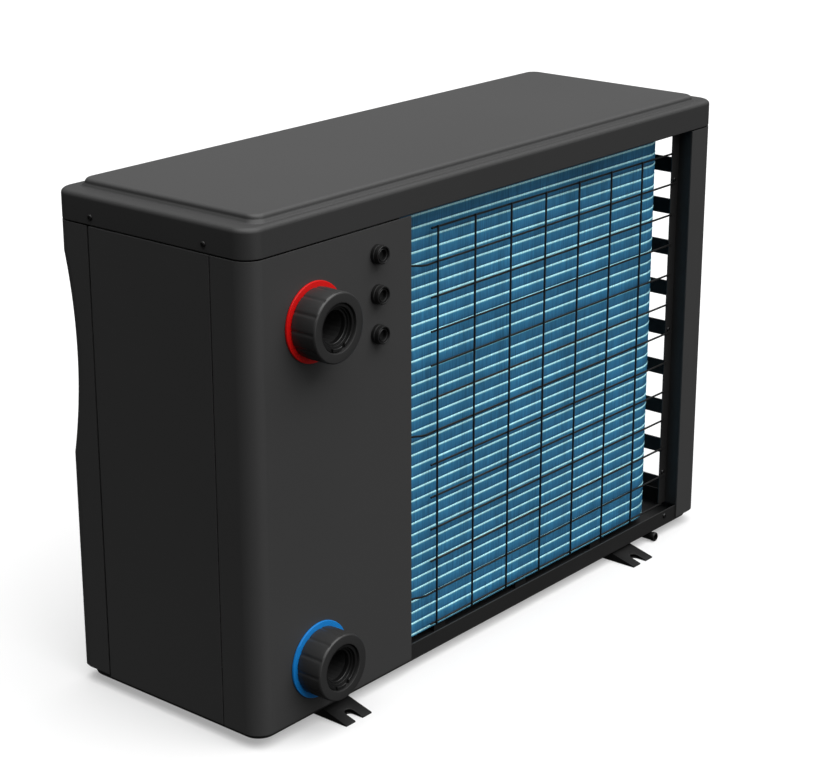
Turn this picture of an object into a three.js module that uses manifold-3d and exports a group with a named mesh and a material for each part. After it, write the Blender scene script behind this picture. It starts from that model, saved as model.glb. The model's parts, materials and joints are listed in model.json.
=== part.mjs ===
// Inverter heat pump for a pool or spa: a sheet-metal case with an axial fan at the front,
// an L-shaped finned coil behind a wire guard at the back, and two water unions beside it.
//
// Millimetres, +Z up. +X is the service end with the water unions, -X the end the coil wraps
// round, -Y the front with the fan, +Y the back. Parts are laid out about the middle of the
// case on the ground, and the whole group is moved at the end so that the origin is the
// middle of the footprint of everything.

import * as THREE from 'three';
import { mergeVertices } from 'three/addons/utils/BufferGeometryUtils.js';
import Module from 'manifold-3d';

const wasm = await Module();
wasm.setup();

// ---------------------------------------------------------------- driving dimensions

const caseLength = 968;
const caseDepth = 324;
const cornerRadius = 25;
const footHeight = 14;
const panelHeight = 600;
const lidHeight = 46;
const sheet = 2;
const gap = 0.4;
const smallestDetail = 0.03;

const endX = caseLength / 2;
const backY = caseDepth / 2;
const seamZ = footHeight + panelHeight;
const topZ = seamZ + lidHeight;
const panelFootZ = footHeight + 5.5;
const panelTopZ = seamZ - gap / 2;

// Vertical seams, measured in from the back of the case or from the service end.
const frontSeamY = backY - 265;
const cornerSeamY = backY - 61;
const cornerPanelX = endX - 284.5;
const postX = -endX + 59;

const panHeight = 25;
const panInset = sheet + gap;
const panFarInset = 18;
const partitionX = endX - 268;

// Front panel: a shallow cylindrical scoop runs across it below the lid.
const scoopLowZ = footHeight + 298;
const scoopHighZ = footHeight + 560;
const scoopDepth = 14.3;

// Fan and its opening, in the middle of the coil bay.
const fanX = (partitionX - endX) / 2;
const fanZ = footHeight + panelHeight / 2;
const bladeTipRadius = 212;
const throatRadius = 222;
const openingRadius = 232;
const collarRadius = 262;
const grilleFrontY = -backY - 8;

// Coil, wire guard and the flange on the post that the guard is screwed to.
const coilBackY = backY - 30;
const coilThickness = 36;
const coilEndX = -endX + 68;
const coilBendRadius = 55;
const coilFootZ = footHeight + 14;
const coilTopZ = footHeight + 592;
const guardPitchX = 75.5;
const guardPitchZ = 45.05;
const guardColumns = 7;
const guardRows = 13;
const guardFirstX = endX - 361.3;
const guardTopRowZ = footHeight + 567;
const guardWire = 3;
const flangeY = backY - 22;
const flangeEdgeX = postX + 16;

// Air inlet windows in the coil end panel.
const windowCount = 9;
const windowPitch = 63;
const windowHeight = 40;
const windowFootZ = footHeight + 37.3;
const windowFrontY = backY - 250;
const windowBackY = backY - 50;

// Water unions.
const unionX = endX - 107;
const outletZ = footHeight + 507;
const inletZ = footHeight + 74;
const unionReach = 40;
const nutRadius = 43;
const nutMouthRadius = 30;
const nutBoreRadius = 36;
const ringRadius = 49.5;
const boreRadius = 20;

// Cable glands, one above the other.
const glandX = endX - 220;
const glandTopZ = footHeight + 565;
const glandPitch = 50;
const glandRadius = 12.3;
const glandReach = 11;

// Foot rails.
const railWidth = 48;
const railRightX = endX - 143;
const railLeftX = endX - 772.5;
const railReach = 33;
const footSlotWidth = 13.5;
const footSlotLength = 22;

// Machinery compartment.
const exchangerRadius = 58;
const exchangerY = 60;
const compressorX = endX - 184;
const compressorY = -75;
const compressorRadius = 60;
const compressorTopZ = 336;
const accumulatorX = compressorX + 105;
const accumulatorY = compressorY - 30;
const pipeRadius = 5;
const valveX = compressorX + 65;
const valveZ = 410;
const valvePortPitch = 20;
const crossingZ = 372;
const crossingY = -20;
const liquidZ = 120;
const headerX = partitionX - 7;
const headerY = 80;

const electricsFrontY = -125;
const electricsBackY = 140;
const electricsFootZ = 464;
const electricsTopZ = 606;
const electricsX = partitionX + 8.4;
const electricsDepth = 76;

// Controller, set into the scoop at the service end of the front.
const controllerX = endX - 134;
const controllerZ = footHeight + 430;
const controllerWidth = 130;
const controllerHeight = 80;
const controllerFaceY = -backY + 4;
const buttonSide = 12;
const buttonPitch = 26;
const buttonCount = 4;

// ---------------------------------------------------------------- finishes

const finish = {
  paint: { color: 0x2b2b2c, roughness: 0.55, metalness: 0.1 },
  darkPaint: { color: 0x1c1c1d, roughness: 0.6, metalness: 0.1 },
  wire: { color: 0x121213, roughness: 0.45, metalness: 0.2 },
  zinc: { color: 0x9a9d9f, roughness: 0.4, metalness: 0.9 },
  steel: { color: 0x8c8f92, roughness: 0.3, metalness: 1 },
  fins: { color: 0x2f8fbf, roughness: 0.4, metalness: 0.6 },
  copper: { color: 0xb8693c, roughness: 0.35, metalness: 1 },
  brass: { color: 0xb99a4f, roughness: 0.35, metalness: 1 },
  aluminium: { color: 0xc4c6c8, roughness: 0.4, metalness: 1 },
  blackPlastic: { color: 0x1a1a1b, roughness: 0.5, metalness: 0 },
  greyPlastic: { color: 0x4a4c4e, roughness: 0.5, metalness: 0 },
  whitePlastic: { color: 0xd8d8d4, roughness: 0.5, metalness: 0 },
  shell: { color: 0x111112, roughness: 0.4, metalness: 0.4 },
  rubber: { color: 0x151515, roughness: 0.85, metalness: 0 },
  red: { color: 0xd0130f, roughness: 0.4, metalness: 0 },
  blue: { color: 0x1273c4, roughness: 0.4, metalness: 0 },
  board: { color: 0x1d5c35, roughness: 0.6, metalness: 0 },
  glass: { color: 0x0b0d10, roughness: 0.1, metalness: 0 },
};

// ---------------------------------------------------------------- solids and booleans

const unit = new THREE.Group();

function add(name, geometry, look, x = 0, y = 0, z = 0) {
  const mesh = new THREE.Mesh(geometry, new THREE.MeshStandardMaterial(look));
  mesh.name = name;
  mesh.position.set(x, y, z);
  unit.add(mesh);
}

// A closed geometry as a solid. Triangles that a revolved profile collapses on its axis go.
function toSolid(geometry) {
  const bare = geometry.clone();
  bare.deleteAttribute('normal');
  bare.deleteAttribute('uv');
  const merged = mergeVertices(bare, 1e-4);
  const index = merged.index.array;
  const kept = [];
  for (let i = 0; i < index.length; i += 3) {
    const [a, b, c] = [index[i], index[i + 1], index[i + 2]];
    if (a !== b && b !== c && c !== a) kept.push(a, b, c);
  }
  return new wasm.Manifold(new wasm.Mesh({
    numProp: 3,
    vertProperties: merged.attributes.position.array,
    triVerts: new Uint32Array(kept),
  }));
}

// A solid as a geometry, without the slivers that a cut leaves.
function toGeometry(solid) {
  const mesh = solid.simplify(smallestDetail).getMesh();
  const geometry = new THREE.BufferGeometry();
  geometry.setAttribute('position', new THREE.BufferAttribute(mesh.vertProperties, 3));
  geometry.setIndex(new THREE.BufferAttribute(mesh.triVerts, 1));
  geometry.computeVertexNormals();
  return geometry;
}

const cut = (body, ...tools) =>
  toGeometry(tools.reduce((solid, tool) => solid.subtract(toSolid(tool)), toSolid(body)));

const join = (body, ...others) =>
  toGeometry(others.reduce((solid, other) => solid.add(toSolid(other)), toSolid(body)));

function box(x0, x1, y0, y1, z0, z1) {
  const geometry = new THREE.BoxGeometry(x1 - x0, y1 - y0, z1 - z0);
  return geometry.translate((x0 + x1) / 2, (y0 + y1) / 2, (z0 + z1) / 2);
}

// ---------------------------------------------------------------- outlines

const right = Math.PI / 2;

// A rectangle whose corners are rounded, each by its own radius or all by one. The order is
// right-top, left-top, left-bottom, right-bottom.
function roundedRect(x0, x1, y0, y1, radii) {
  const [a, b, c, d] = Array.isArray(radii) ? radii : [radii, radii, radii, radii];
  const shape = new THREE.Shape();
  shape.moveTo(x0 + c, y0);
  shape.lineTo(x1 - d, y0);
  if (d) shape.absarc(x1 - d, y0 + d, d, -right, 0);
  shape.lineTo(x1, y1 - a);
  if (a) shape.absarc(x1 - a, y1 - a, a, 0, right);
  shape.lineTo(x0 + b, y1);
  if (b) shape.absarc(x0 + b, y1 - b, b, right, 2 * right);
  shape.lineTo(x0, y0 + c);
  if (c) shape.absarc(x0 + c, y0 + c, c, 2 * right, 3 * right);
  shape.closePath();
  return shape;
}

// A circle drawn as four quarter arcs, so that it gets four times a corner's points.
function circle(x, y, radius) {
  const shape = new THREE.Shape();
  shape.moveTo(x + radius, y);
  for (let quarter = 0; quarter < 4; quarter += 1) {
    shape.absarc(x, y, radius, quarter * right, (quarter + 1) * right);
  }
  return shape;
}

function polygon(points) {
  return new THREE.Shape(points.map(([x, y]) => new THREE.Vector2(x, y)));
}

// Prisms. Each takes an outline in the plane across its own axis: x-y along Z, x-z along Y
// and y-z along X. Arcs get twice as many segments as steps.
function extrude(shape, depth, steps) {
  return new THREE.ExtrudeGeometry(shape, { depth, bevelEnabled: false, curveSegments: steps });
}

function prismZ(shape, z0, z1, steps = 3) {
  return extrude(shape, z1 - z0, steps).translate(0, 0, z0);
}

function prismY(shape, y0, y1, steps = 3) {
  return extrude(shape, y1 - y0, steps).rotateX(right).translate(0, y1, 0);
}

function prismX(shape, x0, x1, steps = 3) {
  const turn = new THREE.Matrix4().makeBasis(
    new THREE.Vector3(0, 1, 0),
    new THREE.Vector3(0, 0, 1),
    new THREE.Vector3(1, 0, 0),
  );
  return extrude(shape, x1 - x0, steps).applyMatrix4(turn).translate(x0, 0, 0);
}

// A prism along Z whose two rims are rounded, inside the outline and between the heights.
function softPrism(shape, z0, z1, edge) {
  const geometry = new THREE.ExtrudeGeometry(shape, {
    depth: z1 - z0 - 2 * edge,
    bevelSize: edge,
    bevelOffset: -edge,
    bevelThickness: edge,
    bevelSegments: 2,
    curveSegments: 2,
  });
  return geometry.translate(0, 0, z0 + edge);
}

// Turned parts. A profile is a list of [radius, height] that runs counter-clockwise.
function turned(profile, segments = 20) {
  return new THREE.LatheGeometry(profile.map(([r, h]) => new THREE.Vector2(r, h)), segments);
}

const turnedZ = (profile, segments) => turned(profile, segments).rotateX(right);
const turnedY = turned;
const turnedX = (profile, segments) => turned(profile, segments).rotateZ(-right);

function collar(inner, outer, low, high) {
  return [[inner, low], [outer, low], [outer, high], [inner, high], [inner, low]];
}

function rod(radius, low, high) {
  return [[0, low], [radius, low], [radius, high], [0, high]];
}

// A round pipe along straight runs joined by bends.
function pipe(points, radius = pipeRadius, bend = 14, steps = 16) {
  const corners = points.map(([x, y, z]) => new THREE.Vector3(x, y, z));
  const path = new THREE.CurvePath();
  let from = corners[0];
  for (let i = 1; i < corners.length - 1; i += 1) {
    const corner = corners[i];
    const back = corners[i - 1].clone().sub(corner);
    const onward = corners[i + 1].clone().sub(corner);
    const reach = Math.min(bend, back.length() / 2, onward.length() / 2);
    const entry = corner.clone().add(back.setLength(reach));
    const exit = corner.clone().add(onward.setLength(reach));
    path.add(new THREE.LineCurve3(from, entry));
    path.add(new THREE.QuadraticBezierCurve3(entry, corner, exit));
    from = exit;
  }
  path.add(new THREE.LineCurve3(from, corners[corners.length - 1]));
  const sides = 6;
  const section = [];
  for (let side = 0; side < sides; side += 1) {
    const angle = (side / sides) * 4 * right;
    section.push([radius * Math.cos(angle), radius * Math.sin(angle)]);
  }
  return new THREE.ExtrudeGeometry(polygon(section), { steps, extrudePath: path });
}

// ---------------------------------------------------------------- case

function basePan() {
  const [left, front] = [-endX + panFarInset, -backY + panFarInset];
  const [rightSide, back] = [endX - panInset, backY - panInset];
  const outer = roundedRect(left, rightSide, front, back, cornerRadius - panInset);
  const inner = roundedRect(
    left + sheet, rightSide - sheet, front + sheet, back - sheet, cornerRadius - panInset - sheet,
  );
  const tray = cut(
    prismZ(outer, footHeight, footHeight + panHeight),
    prismZ(inner, footHeight + sheet, footHeight + panHeight + 1),
    turnedZ(rod(4, footHeight - 1, footHeight + sheet + 1), 8).translate(drainX, drainHoleY, 0),
  );
  const coilMiddleY = coilBackY - coilThickness / 2;
  const ribs = [-260, -80, 100].map((x) =>
    box(x - 12, x + 12, coilMiddleY - 14, coilMiddleY + 14, footHeight + 1, coilFootZ - gap));
  return join(tray, ...ribs);
}

// A channel open underneath, whose top plate slopes down to a slotted tip at each end.
function footRail() {
  const tipY = backY + railReach;
  const kneeY = backY - 12;
  const plateZ = footHeight - gap;
  const slope = (plateZ - sheet) / (tipY - kneeY);
  const outer = polygon([
    [-tipY, 0], [tipY, 0], [tipY, sheet], [kneeY, plateZ], [-kneeY, plateZ], [-tipY, sheet],
  ]);
  const innerTipY = tipY - sheet / slope;
  const inner = polygon([
    [-innerTipY, sheet], [innerTipY, sheet], [kneeY, plateZ - sheet], [-kneeY, plateZ - sheet],
  ]);
  const half = railWidth / 2;
  const lipEdge = half - 10;
  const slotHalf = footSlotWidth / 2;
  const slots = [-1, 1].map((end) => {
    const deepY = end * (tipY - footSlotLength + slotHalf);
    const mouth = box(
      -slotHalf, slotHalf, Math.min(deepY, end * (tipY + 1)), Math.max(deepY, end * (tipY + 1)),
      -1, footHeight,
    );
    return join(mouth, prismZ(circle(0, deepY, slotHalf), -1, footHeight, 2));
  });
  return cut(
    prismX(outer, -half, half),
    prismX(inner, -half + sheet, half - sheet),
    box(-lipEdge, lipEdge, -kneeY, kneeY, -1, sheet + 1),
    ...slots,
  );
}

function lid() {
  const ledgeZ = topZ - 9;
  const stepZ = ledgeZ + 2.5;
  const [insetX, insetY] = [34, 19];
  const skirt = roundedRect(-endX, endX, -backY, backY, cornerRadius);
  const step = roundedRect(
    -endX + insetX - 6, endX - insetX + 6, -backY + insetY - 6, backY - insetY + 6, 16,
  );
  const plateau = roundedRect(-endX + insetX, endX - insetX, -backY + insetY, backY - insetY, 12);
  const solid = join(
    softPrism(skirt, seamZ - 10, ledgeZ, 6),
    softPrism(step, seamZ, stepZ, 2),
    softPrism(plateau, seamZ, topZ, 5),
  );
  const wall = sheet;
  const hollow = roundedRect(
    -endX + wall, endX - wall, -backY + wall, backY - wall, cornerRadius - wall,
  );
  const crown = roundedRect(
    -endX + insetX + 3, endX - insetX - 3, -backY + insetY + 3, backY - insetY - 3, 9,
  );
  const screwHoles = lidScrewYs.map((y) =>
    turnedX(rod(2.4, -10, 1), 8).translate(endX, y, lidScrewZ));
  return cut(
    solid,
    prismZ(roundedRect(-endX - 1, endX + 1, -backY - 1, backY + 1, 0), seamZ - 11, seamZ + gap),
    prismZ(hollow, seamZ - 1, ledgeZ - 6, 2),
    prismZ(crown, seamZ, topZ - 3, 1),
    ...screwHoles,
  );
}

const lidScrewYs = [backY - 258, backY - 69];
const lidScrewZ = seamZ + 11;

function lidScrew() {
  return turnedX([[0, -9], [1.9, -9], [1.9, gap], [3.6, gap], [3.6, 1.4], [2.4, 2.4], [0, 2.4]], 8);
}

// How far the front stands back at height z.
function scoopAt(z) {
  const middleZ = (scoopLowZ + scoopHighZ) / 2;
  const halfChord = (scoopHighZ - scoopLowZ) / 2;
  const radius = (halfChord ** 2 + scoopDepth ** 2) / (2 * scoopDepth);
  const fromMiddle = Math.min(Math.abs(z - middleZ), halfChord);
  return Math.sqrt(radius ** 2 - fromMiddle ** 2) - (radius - scoopDepth);
}

// The front and its round corners move back with the scoop, and the side strips shorten to the seam.
function scooped(geometry) {
  const bendY = -backY + cornerRadius;
  const points = geometry.getAttribute('position');
  for (let i = 0; i < points.count; i += 1) {
    const y = points.getY(i);
    const share = THREE.MathUtils.clamp((frontSeamY - y) / (frontSeamY - bendY), 0, 1);
    points.setY(i, y + share * scoopAt(points.getZ(i)));
  }
  return geometry;
}

function frontPanel() {
  const outer = roundedRect(
    -endX, endX, -backY, frontSeamY - gap / 2, [0, 0, cornerRadius, cornerRadius],
  );
  const innerRadius = cornerRadius - sheet;
  const inner = roundedRect(
    -endX + sheet, endX - sheet, -backY + sheet, frontSeamY + 1, [0, 0, innerRadius, innerRadius],
  );
  const skin = cut(
    scooped(prismZ(outer, footHeight + 8, panelTopZ, 20)),
    scooped(prismZ(inner, footHeight, seamZ + 1, 20)),
  );
  const collarBackY = -backY + scoopDepth + sheet + 1;
  const ring = prismY(circle(fanX, fanZ, collarRadius), -backY, collarBackY, 4);
  return cut(
    join(skin, ring),
    prismY(circle(fanX, fanZ, openingRadius), -backY - 1, collarBackY + 1, 4),
    box(
      controllerX - controllerWidth / 2 - gap, controllerX + controllerWidth / 2 + gap,
      -backY - 1, -backY + 30,
      controllerZ - controllerHeight / 2 - gap, controllerZ + controllerHeight / 2 + gap,
    ),
  );
}

function servicePanel() {
  const [front, back] = [frontSeamY + gap / 2, cornerSeamY - gap / 2];
  return join(
    box(endX - sheet, endX, front, back, panelFootZ, panelTopZ),
    box(endX - 14, endX - sheet / 2, front, back, panelTopZ - sheet, panelTopZ),
  );
}

function rearCornerPanel() {
  const innerRadius = cornerRadius - sheet;
  const outer = roundedRect(
    cornerPanelX, endX, cornerSeamY + gap / 2, backY, [cornerRadius, 0, 0, 0],
  );
  const inner = roundedRect(
    cornerPanelX - 1, endX - sheet, cornerSeamY - 1, backY - sheet, [innerRadius, 0, 0, 0],
  );
  const portHoles = [outletZ, inletZ].map((z) =>
    prismY(circle(unionX, z, nutBoreRadius), backY - 5, backY + 1, 2));
  const glandHoles = glandZs.map((z) =>
    prismY(circle(glandX, z, 8.4), backY - 5, backY + 1, 2));
  return cut(
    prismZ(outer, panelFootZ, panelTopZ),
    prismZ(inner, panelFootZ - 1, panelTopZ + 1),
    ...portHoles,
    ...glandHoles,
  );
}

// The end the coil wraps round: a windowed side, the corner post, and behind the post a
// flange set back from the face for the wire guard.
function coilEndPanel() {
  const innerRadius = cornerRadius - sheet;
  const outer = roundedRect(-endX, postX, frontSeamY + gap / 2, backY, [0, cornerRadius, 0, 0]);
  const inner = roundedRect(
    -endX + sheet, postX + 1, frontSeamY - 1, backY - sheet, [0, innerRadius, 0, 0],
  );
  const skin = cut(prismZ(outer, panelFootZ, panelTopZ), prismZ(inner, 0, seamZ + 1));
  const flangeFootZ = footHeight + panHeight + gap;
  const edge = join(
    box(postX - sheet, postX, flangeY - sheet, backY - sheet / 2, flangeFootZ, panelTopZ),
    box(postX - sheet, flangeEdgeX, flangeY - sheet, flangeY, flangeFootZ, panelTopZ),
  );
  const windows = [];
  for (let k = 0; k < windowCount; k += 1) {
    const z = windowFootZ + k * windowPitch;
    windows.push(box(-endX - 1, -endX + 10, windowFrontY, windowBackY, z, z + windowHeight));
  }
  return cut(join(skin, edge), ...windows);
}

function partitionPlate() {
  const frontEdge = -backY + panFarInset + sheet + gap;
  const backEdge = backY - panInset - sheet - gap;
  const plate = join(
    box(partitionX, partitionX + sheet, frontEdge, backEdge, footHeight + sheet + gap, seamZ - 1),
    box(partitionX - 14, partitionX + 1, flangeY - sheet, flangeY,
      footHeight + panHeight + gap, seamZ - 1),
  );
  const hole = (y, z) => turnedX(rod(pipeRadius + 4, -5, 5), 12).translate(partitionX, y, z);
  return cut(
    plate,
    box(partitionX - 1, partitionX + 3, finFrontY - 2, finBackY + 2, finFootZ - 2, finTopZ + 2),
    hole(crossingY, crossingZ),
    hole(exchangerY, liquidZ),
  );
}

// ---------------------------------------------------------------- guard, grille and coil

// One flat lattice: the rows stick out past the columns, and three of them reach the panel.
function coilGuard() {
  const half = guardWire / 2;
  const lowRowZ = guardTopRowZ - (guardRows - 1) * guardPitchZ;
  const [lowZ, highZ] = [lowRowZ - 3, guardTopRowZ + 3];
  const lattice = [];
  for (let column = 0; column < guardColumns; column += 1) {
    const x = guardFirstX - column * guardPitchX;
    lattice.push(box(x - half, x + half, guardY, guardY + 2 * guardWire, lowZ, highZ));
  }
  for (let row = 0; row < guardRows; row += 1) {
    const z = guardTopRowZ - row * guardPitchZ;
    const isLong = row % 5 === 1;
    const startX = isLong ? cornerPanelX + 8 : guardFirstX + 9;
    const stopX = isLong ? postX + 1 : flangeEdgeX - 3;
    lattice.push(box(stopX, startX, guardY, guardY + 2 * guardWire, z - half, z + half));
  }
  return join(...lattice);
}

const guardY = flangeY + gap;

function fanGrille() {
  const bands = [[50, 144], [150, 246]];
  const sectors = 4;
  const bar = 5;
  const face = circle(0, 0, collarRadius - 4);
  for (const [low, high] of bands) {
    for (let k = 0; k < sectors; k += 1) {
      const middle = (k + 0.5) * (4 * right / sectors);
      const lowHalf = 2 * right / sectors - bar / low / 2;
      const highHalf = 2 * right / sectors - bar / high / 2;
      const hole = new THREE.Path();
      hole.absarc(0, 0, high, middle - highHalf, middle + highHalf);
      hole.absarc(0, 0, low, middle + lowHalf, middle - lowHalf, true);
      hole.closePath();
      face.holes.push(hole);
    }
  }
  const rimFace = circle(0, 0, collarRadius - 4);
  rimFace.holes.push(circle(0, 0, 247));
  const web = prismY(face, grilleFrontY, grilleFrontY + 4, 3);
  const rim = prismY(rimFace, grilleFrontY + 2, -backY - gap, 3);
  return join(web, rim).translate(fanX, 0, fanZ);
}

function bellMouth() {
  const faceY = -backY + scoopDepth + sheet + 1 + gap;
  return turnedY([
    [openingRadius, faceY], [openingRadius + 18, faceY], [openingRadius + 18, faceY + 2],
    [openingRadius + 4, faceY + 2], [throatRadius + 2.5, faceY + 14],
    [throatRadius + 2.5, faceY + 48], [throatRadius, faceY + 48], [throatRadius, faceY + 14],
    [throatRadius + 4, faceY + 5], [openingRadius, faceY],
  ], 36).translate(fanX, 0, fanZ);
}

function coilBlock() {
  const bendX = coilEndX + coilBendRadius;
  const bendY = coilBackY - coilBendRadius;
  const inside = coilBendRadius - coilThickness;
  const frontY = -backY + 34;
  const startX = cornerPanelX + 0.5;
  const plan = new THREE.Shape();
  plan.moveTo(startX, coilBackY);
  plan.lineTo(bendX, coilBackY);
  plan.absarc(bendX, bendY, coilBendRadius, right, 2 * right);
  plan.lineTo(coilEndX, frontY);
  plan.lineTo(coilEndX + coilThickness, frontY);
  plan.lineTo(coilEndX + coilThickness, bendY);
  plan.absarc(bendX, bendY, inside, 2 * right, right, true);
  plan.lineTo(startX, coilBackY - coilThickness);
  plan.closePath();
  return prismZ(plan, coilFootZ, coilTopZ, 4);
}

// The end plate that carries the tubes, with a row of return bends brazed outside it.
function tubeSheet() {
  const plateX = cornerPanelX + 1;
  const middleY = coilBackY - coilThickness / 2;
  const plate = box(
    plateX, plateX + sheet, middleY - 22, middleY + 22, coilFootZ - 4, coilTopZ + 4,
  );
  const bends = [];
  for (let k = 0; k < 6; k += 1) {
    const z = coilFootZ + 60 + k * 84;
    const faceX = plateX + 1;
    bends.push(pipe([
      [faceX, middleY, z], [faceX + 9, middleY, z], [faceX + 9, middleY, z + 32],
      [faceX, middleY, z + 32],
    ], 3.5, 8, 8));
  }
  return join(plate, ...bends);
}

// ---------------------------------------------------------------- fan and motor

const motorFaceY = -58;
const motorBackY = 25;
const hubFrontY = -138;
const hubBackY = -70;

// One blade, turning and widening outwards. Both faces use the same grid of points, so that they never cross.
function fanBlade() {
  const root = 40;
  const span = bladeTipRadius - root;
  const [wide, long] = [4, 5];
  const points = [];
  for (const face of [-1, 1]) {
    for (let j = 0; j <= long; j += 1) {
      for (let i = 0; i <= wide; i += 1) {
        const [across, along] = [i / wide - 0.5, j / long];
        const chord = (96 + 62 * along) * across;
        const pitch = THREE.MathUtils.degToRad(38 - 18 * along);
        const thick = face * (0.9 + 6 * (0.25 - across * across));
        const radius = root + span * along;
        const sideways = chord * Math.cos(pitch) - thick * Math.sin(pitch) + 24 * along * along;
        const angle = sideways / Math.max(radius, 70);
        const axial = chord * Math.sin(pitch) + thick * Math.cos(pitch);
        points.push(radius * Math.cos(angle), axial, -radius * Math.sin(angle));
      }
    }
  }
  const front = (i, j) => j * (wide + 1) + i;
  const rear = (i, j) => front(i, j) + (long + 1) * (wide + 1);
  const corners = [];
  const quad = (a, b, c, d) => corners.push(a, b, c, a, c, d);
  for (let j = 0; j < long; j += 1) {
    for (let i = 0; i < wide; i += 1) {
      quad(front(i, j), front(i + 1, j), front(i + 1, j + 1), front(i, j + 1));
      quad(rear(i + 1, j + 1), rear(i + 1, j), rear(i, j), rear(i, j + 1));
    }
    quad(front(0, j), front(0, j + 1), rear(0, j + 1), rear(0, j));
    quad(front(wide, j), rear(wide, j), rear(wide, j + 1), front(wide, j + 1));
  }
  for (let i = 0; i < wide; i += 1) {
    quad(front(i, 0), rear(i, 0), rear(i + 1, 0), front(i + 1, 0));
    quad(front(i, long), front(i + 1, long), rear(i + 1, long), rear(i, long));
  }
  const blade = new THREE.BufferGeometry();
  blade.setAttribute('position', new THREE.Float32BufferAttribute(points, 3));
  blade.setIndex(corners);
  return blade;
}

function fanWheel() {
  const middleY = (hubFrontY + hubBackY) / 2;
  const hub = turnedY(collar(5.5, 50, hubFrontY, hubBackY), 24);
  const blades = [0, 1, 2].map((k) => fanBlade().rotateY(k * 4 * right / 3).translate(0, middleY, 0));
  return join(hub, ...blades);
}

function fanMotor() {
  return turnedY([
    [0, motorFaceY + 40], [5.6, motorFaceY + 40], [5.6, motorFaceY - 6], [16, motorFaceY - 6],
    [16, motorFaceY], [44, motorFaceY], [52, motorFaceY + 8], [52, motorBackY - 8],
    [46, motorBackY], [0, motorBackY],
  ]);
}

function motorBracket() {
  const frontY = motorBackY + gap;
  const [half, flange] = [45, 22];
  const [lowZ, highZ] = [footHeight + sheet + gap, seamZ - 1];
  return cut(
    box(fanX - half, fanX + half, frontY, frontY + flange, lowZ, highZ),
    box(fanX - half + sheet, fanX + half - sheet, frontY + 3, frontY + flange + 1, lowZ - 1, highZ + 1),
  );
}

// ---------------------------------------------------------------- refrigeration

function compressor() {
  const shell = turnedZ([
    [0, 44], [44, 44], [compressorRadius, 60], [compressorRadius, 300], [46, 322], [14, 330],
    [6, 332], [6, compressorTopZ + 14], [0, compressorTopZ + 14],
  ]);
  const corners = grommetOffsets.map(([x, y]) => prismZ(circle(x, y, 15), 40, 45, 1));
  const hub = prismZ(circle(0, 0, 52), 40, 45, 2);
  const arms = grommetOffsets.map(([x, y]) => {
    const arm = box(0, grommetReach, -14, 14, 40, 45);
    return arm.rotateZ(Math.atan2(y, x));
  });
  const inlet = turnedX(rod(pipeRadius, compressorRadius - 4, compressorRadius + 8), 12);
  const holes = grommetOffsets.map(([x, y]) => turnedZ(rod(5, 30, 50), 8).translate(x, y, 0));
  return cut(
    join(shell, hub, ...corners, ...arms, inlet.translate(0, 0, 90)),
    ...holes,
  );
}

const grommetReach = 72;
const grommetOffsets = [90, 210, 330].map((degrees) => {
  const angle = THREE.MathUtils.degToRad(degrees);
  return [grommetReach * Math.cos(angle), grommetReach * Math.sin(angle)];
});

function grommet() {
  const low = footHeight + sheet + gap;
  return turnedZ([
    [0, low], [12, low], [12, 30], [9, 32], [12, 35], [12, 40 - gap], [4.3, 40 - gap], [4.3, 47],
    [0, 47],
  ], 12);
}

function terminalCover() {
  return prismY(roundedRect(-24, 24, 200, 262, 6), 0, 16, 1);
}

function accumulator() {
  const vessel = turnedZ([
    [0, 60], [20, 60], [30, 70], [30, 244], [18, 256], [6, 258], [6, 268], [0, 268],
  ]);
  const gapToInlet = compressorRadius + 8 + gap - (accumulatorX - compressorX);
  const outlet = pipe([
    [0, 0, 66], [0, 0, 50], [-20, 30, 50], [-20, 30, 90], [gapToInlet, 30, 90],
  ], pipeRadius, 12, 18);
  return join(vessel, outlet);
}

function reversingValve() {
  const body = turnedX([
    [0, -40], [9, -40], [12, -36], [12, 36], [9, 40], [0, 40],
  ], 12);
  const stub = (x, low, high) => turnedZ(rod(pipeRadius, low, high), 8).translate(x, 0, 0);
  const pilot = box(-14, 14, -30, -8, -9, 9);
  return join(
    body,
    pilot,
    stub(0, 6, 24),
    stub(-valvePortPitch, -24, -6),
    stub(0, -24, -6),
    stub(valvePortPitch, -24, -6),
  );
}

function refrigerantPipes() {
  const valveTopZ = valveZ + 24 + gap;
  const valveFootZ = valveZ - 24 - gap;
  const loopZ = valveTopZ + 14;
  add('discharge_pipe', pipe([
    [compressorX, compressorY, compressorTopZ + 14 + gap],
    [compressorX, compressorY, loopZ],
    [valveX, compressorY, loopZ],
    [valveX, compressorY, valveTopZ],
  ]), finish.copper);
  add('suction_pipe', pipe([
    [valveX, compressorY, valveFootZ],
    [valveX, compressorY, 320],
    [accumulatorX, accumulatorY, 300],
    [accumulatorX, accumulatorY, 268 + gap],
  ]), finish.copper);
  add('exchanger_gas_pipe', pipe([
    [valveX + valvePortPitch, compressorY, valveFootZ],
    [valveX + valvePortPitch, compressorY, 340],
    [valveX + valvePortPitch, exchangerY - exchangerRadius - 10 - gap, 340],
  ]), finish.copper);
  const crossing = pipe([
    [valveX - valvePortPitch, compressorY, valveFootZ],
    [valveX - valvePortPitch, compressorY, crossingZ],
    [valveX - valvePortPitch, crossingY, crossingZ],
    [headerX, crossingY, crossingZ],
    [headerX, headerY, crossingZ],
  ], pipeRadius, 14, 26);
  const header = turnedZ(rod(6, liquidZ + 40, coilTopZ - 40), 10).translate(headerX, headerY, 0);
  add('coil_gas_header', join(crossing, header), finish.copper);
  add('liquid_pipe', pipe([
    [expansionX - 8 - gap, exchangerY, liquidZ],
    [headerX, exchangerY, liquidZ],
    [headerX, headerY + 11, liquidZ],
  ]), finish.copper);
}

const exchangerStubX = unionX - exchangerRadius - 10;
const drierLength = 42;
const expansionX = exchangerStubX - 2 * gap - drierLength - 8;

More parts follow.
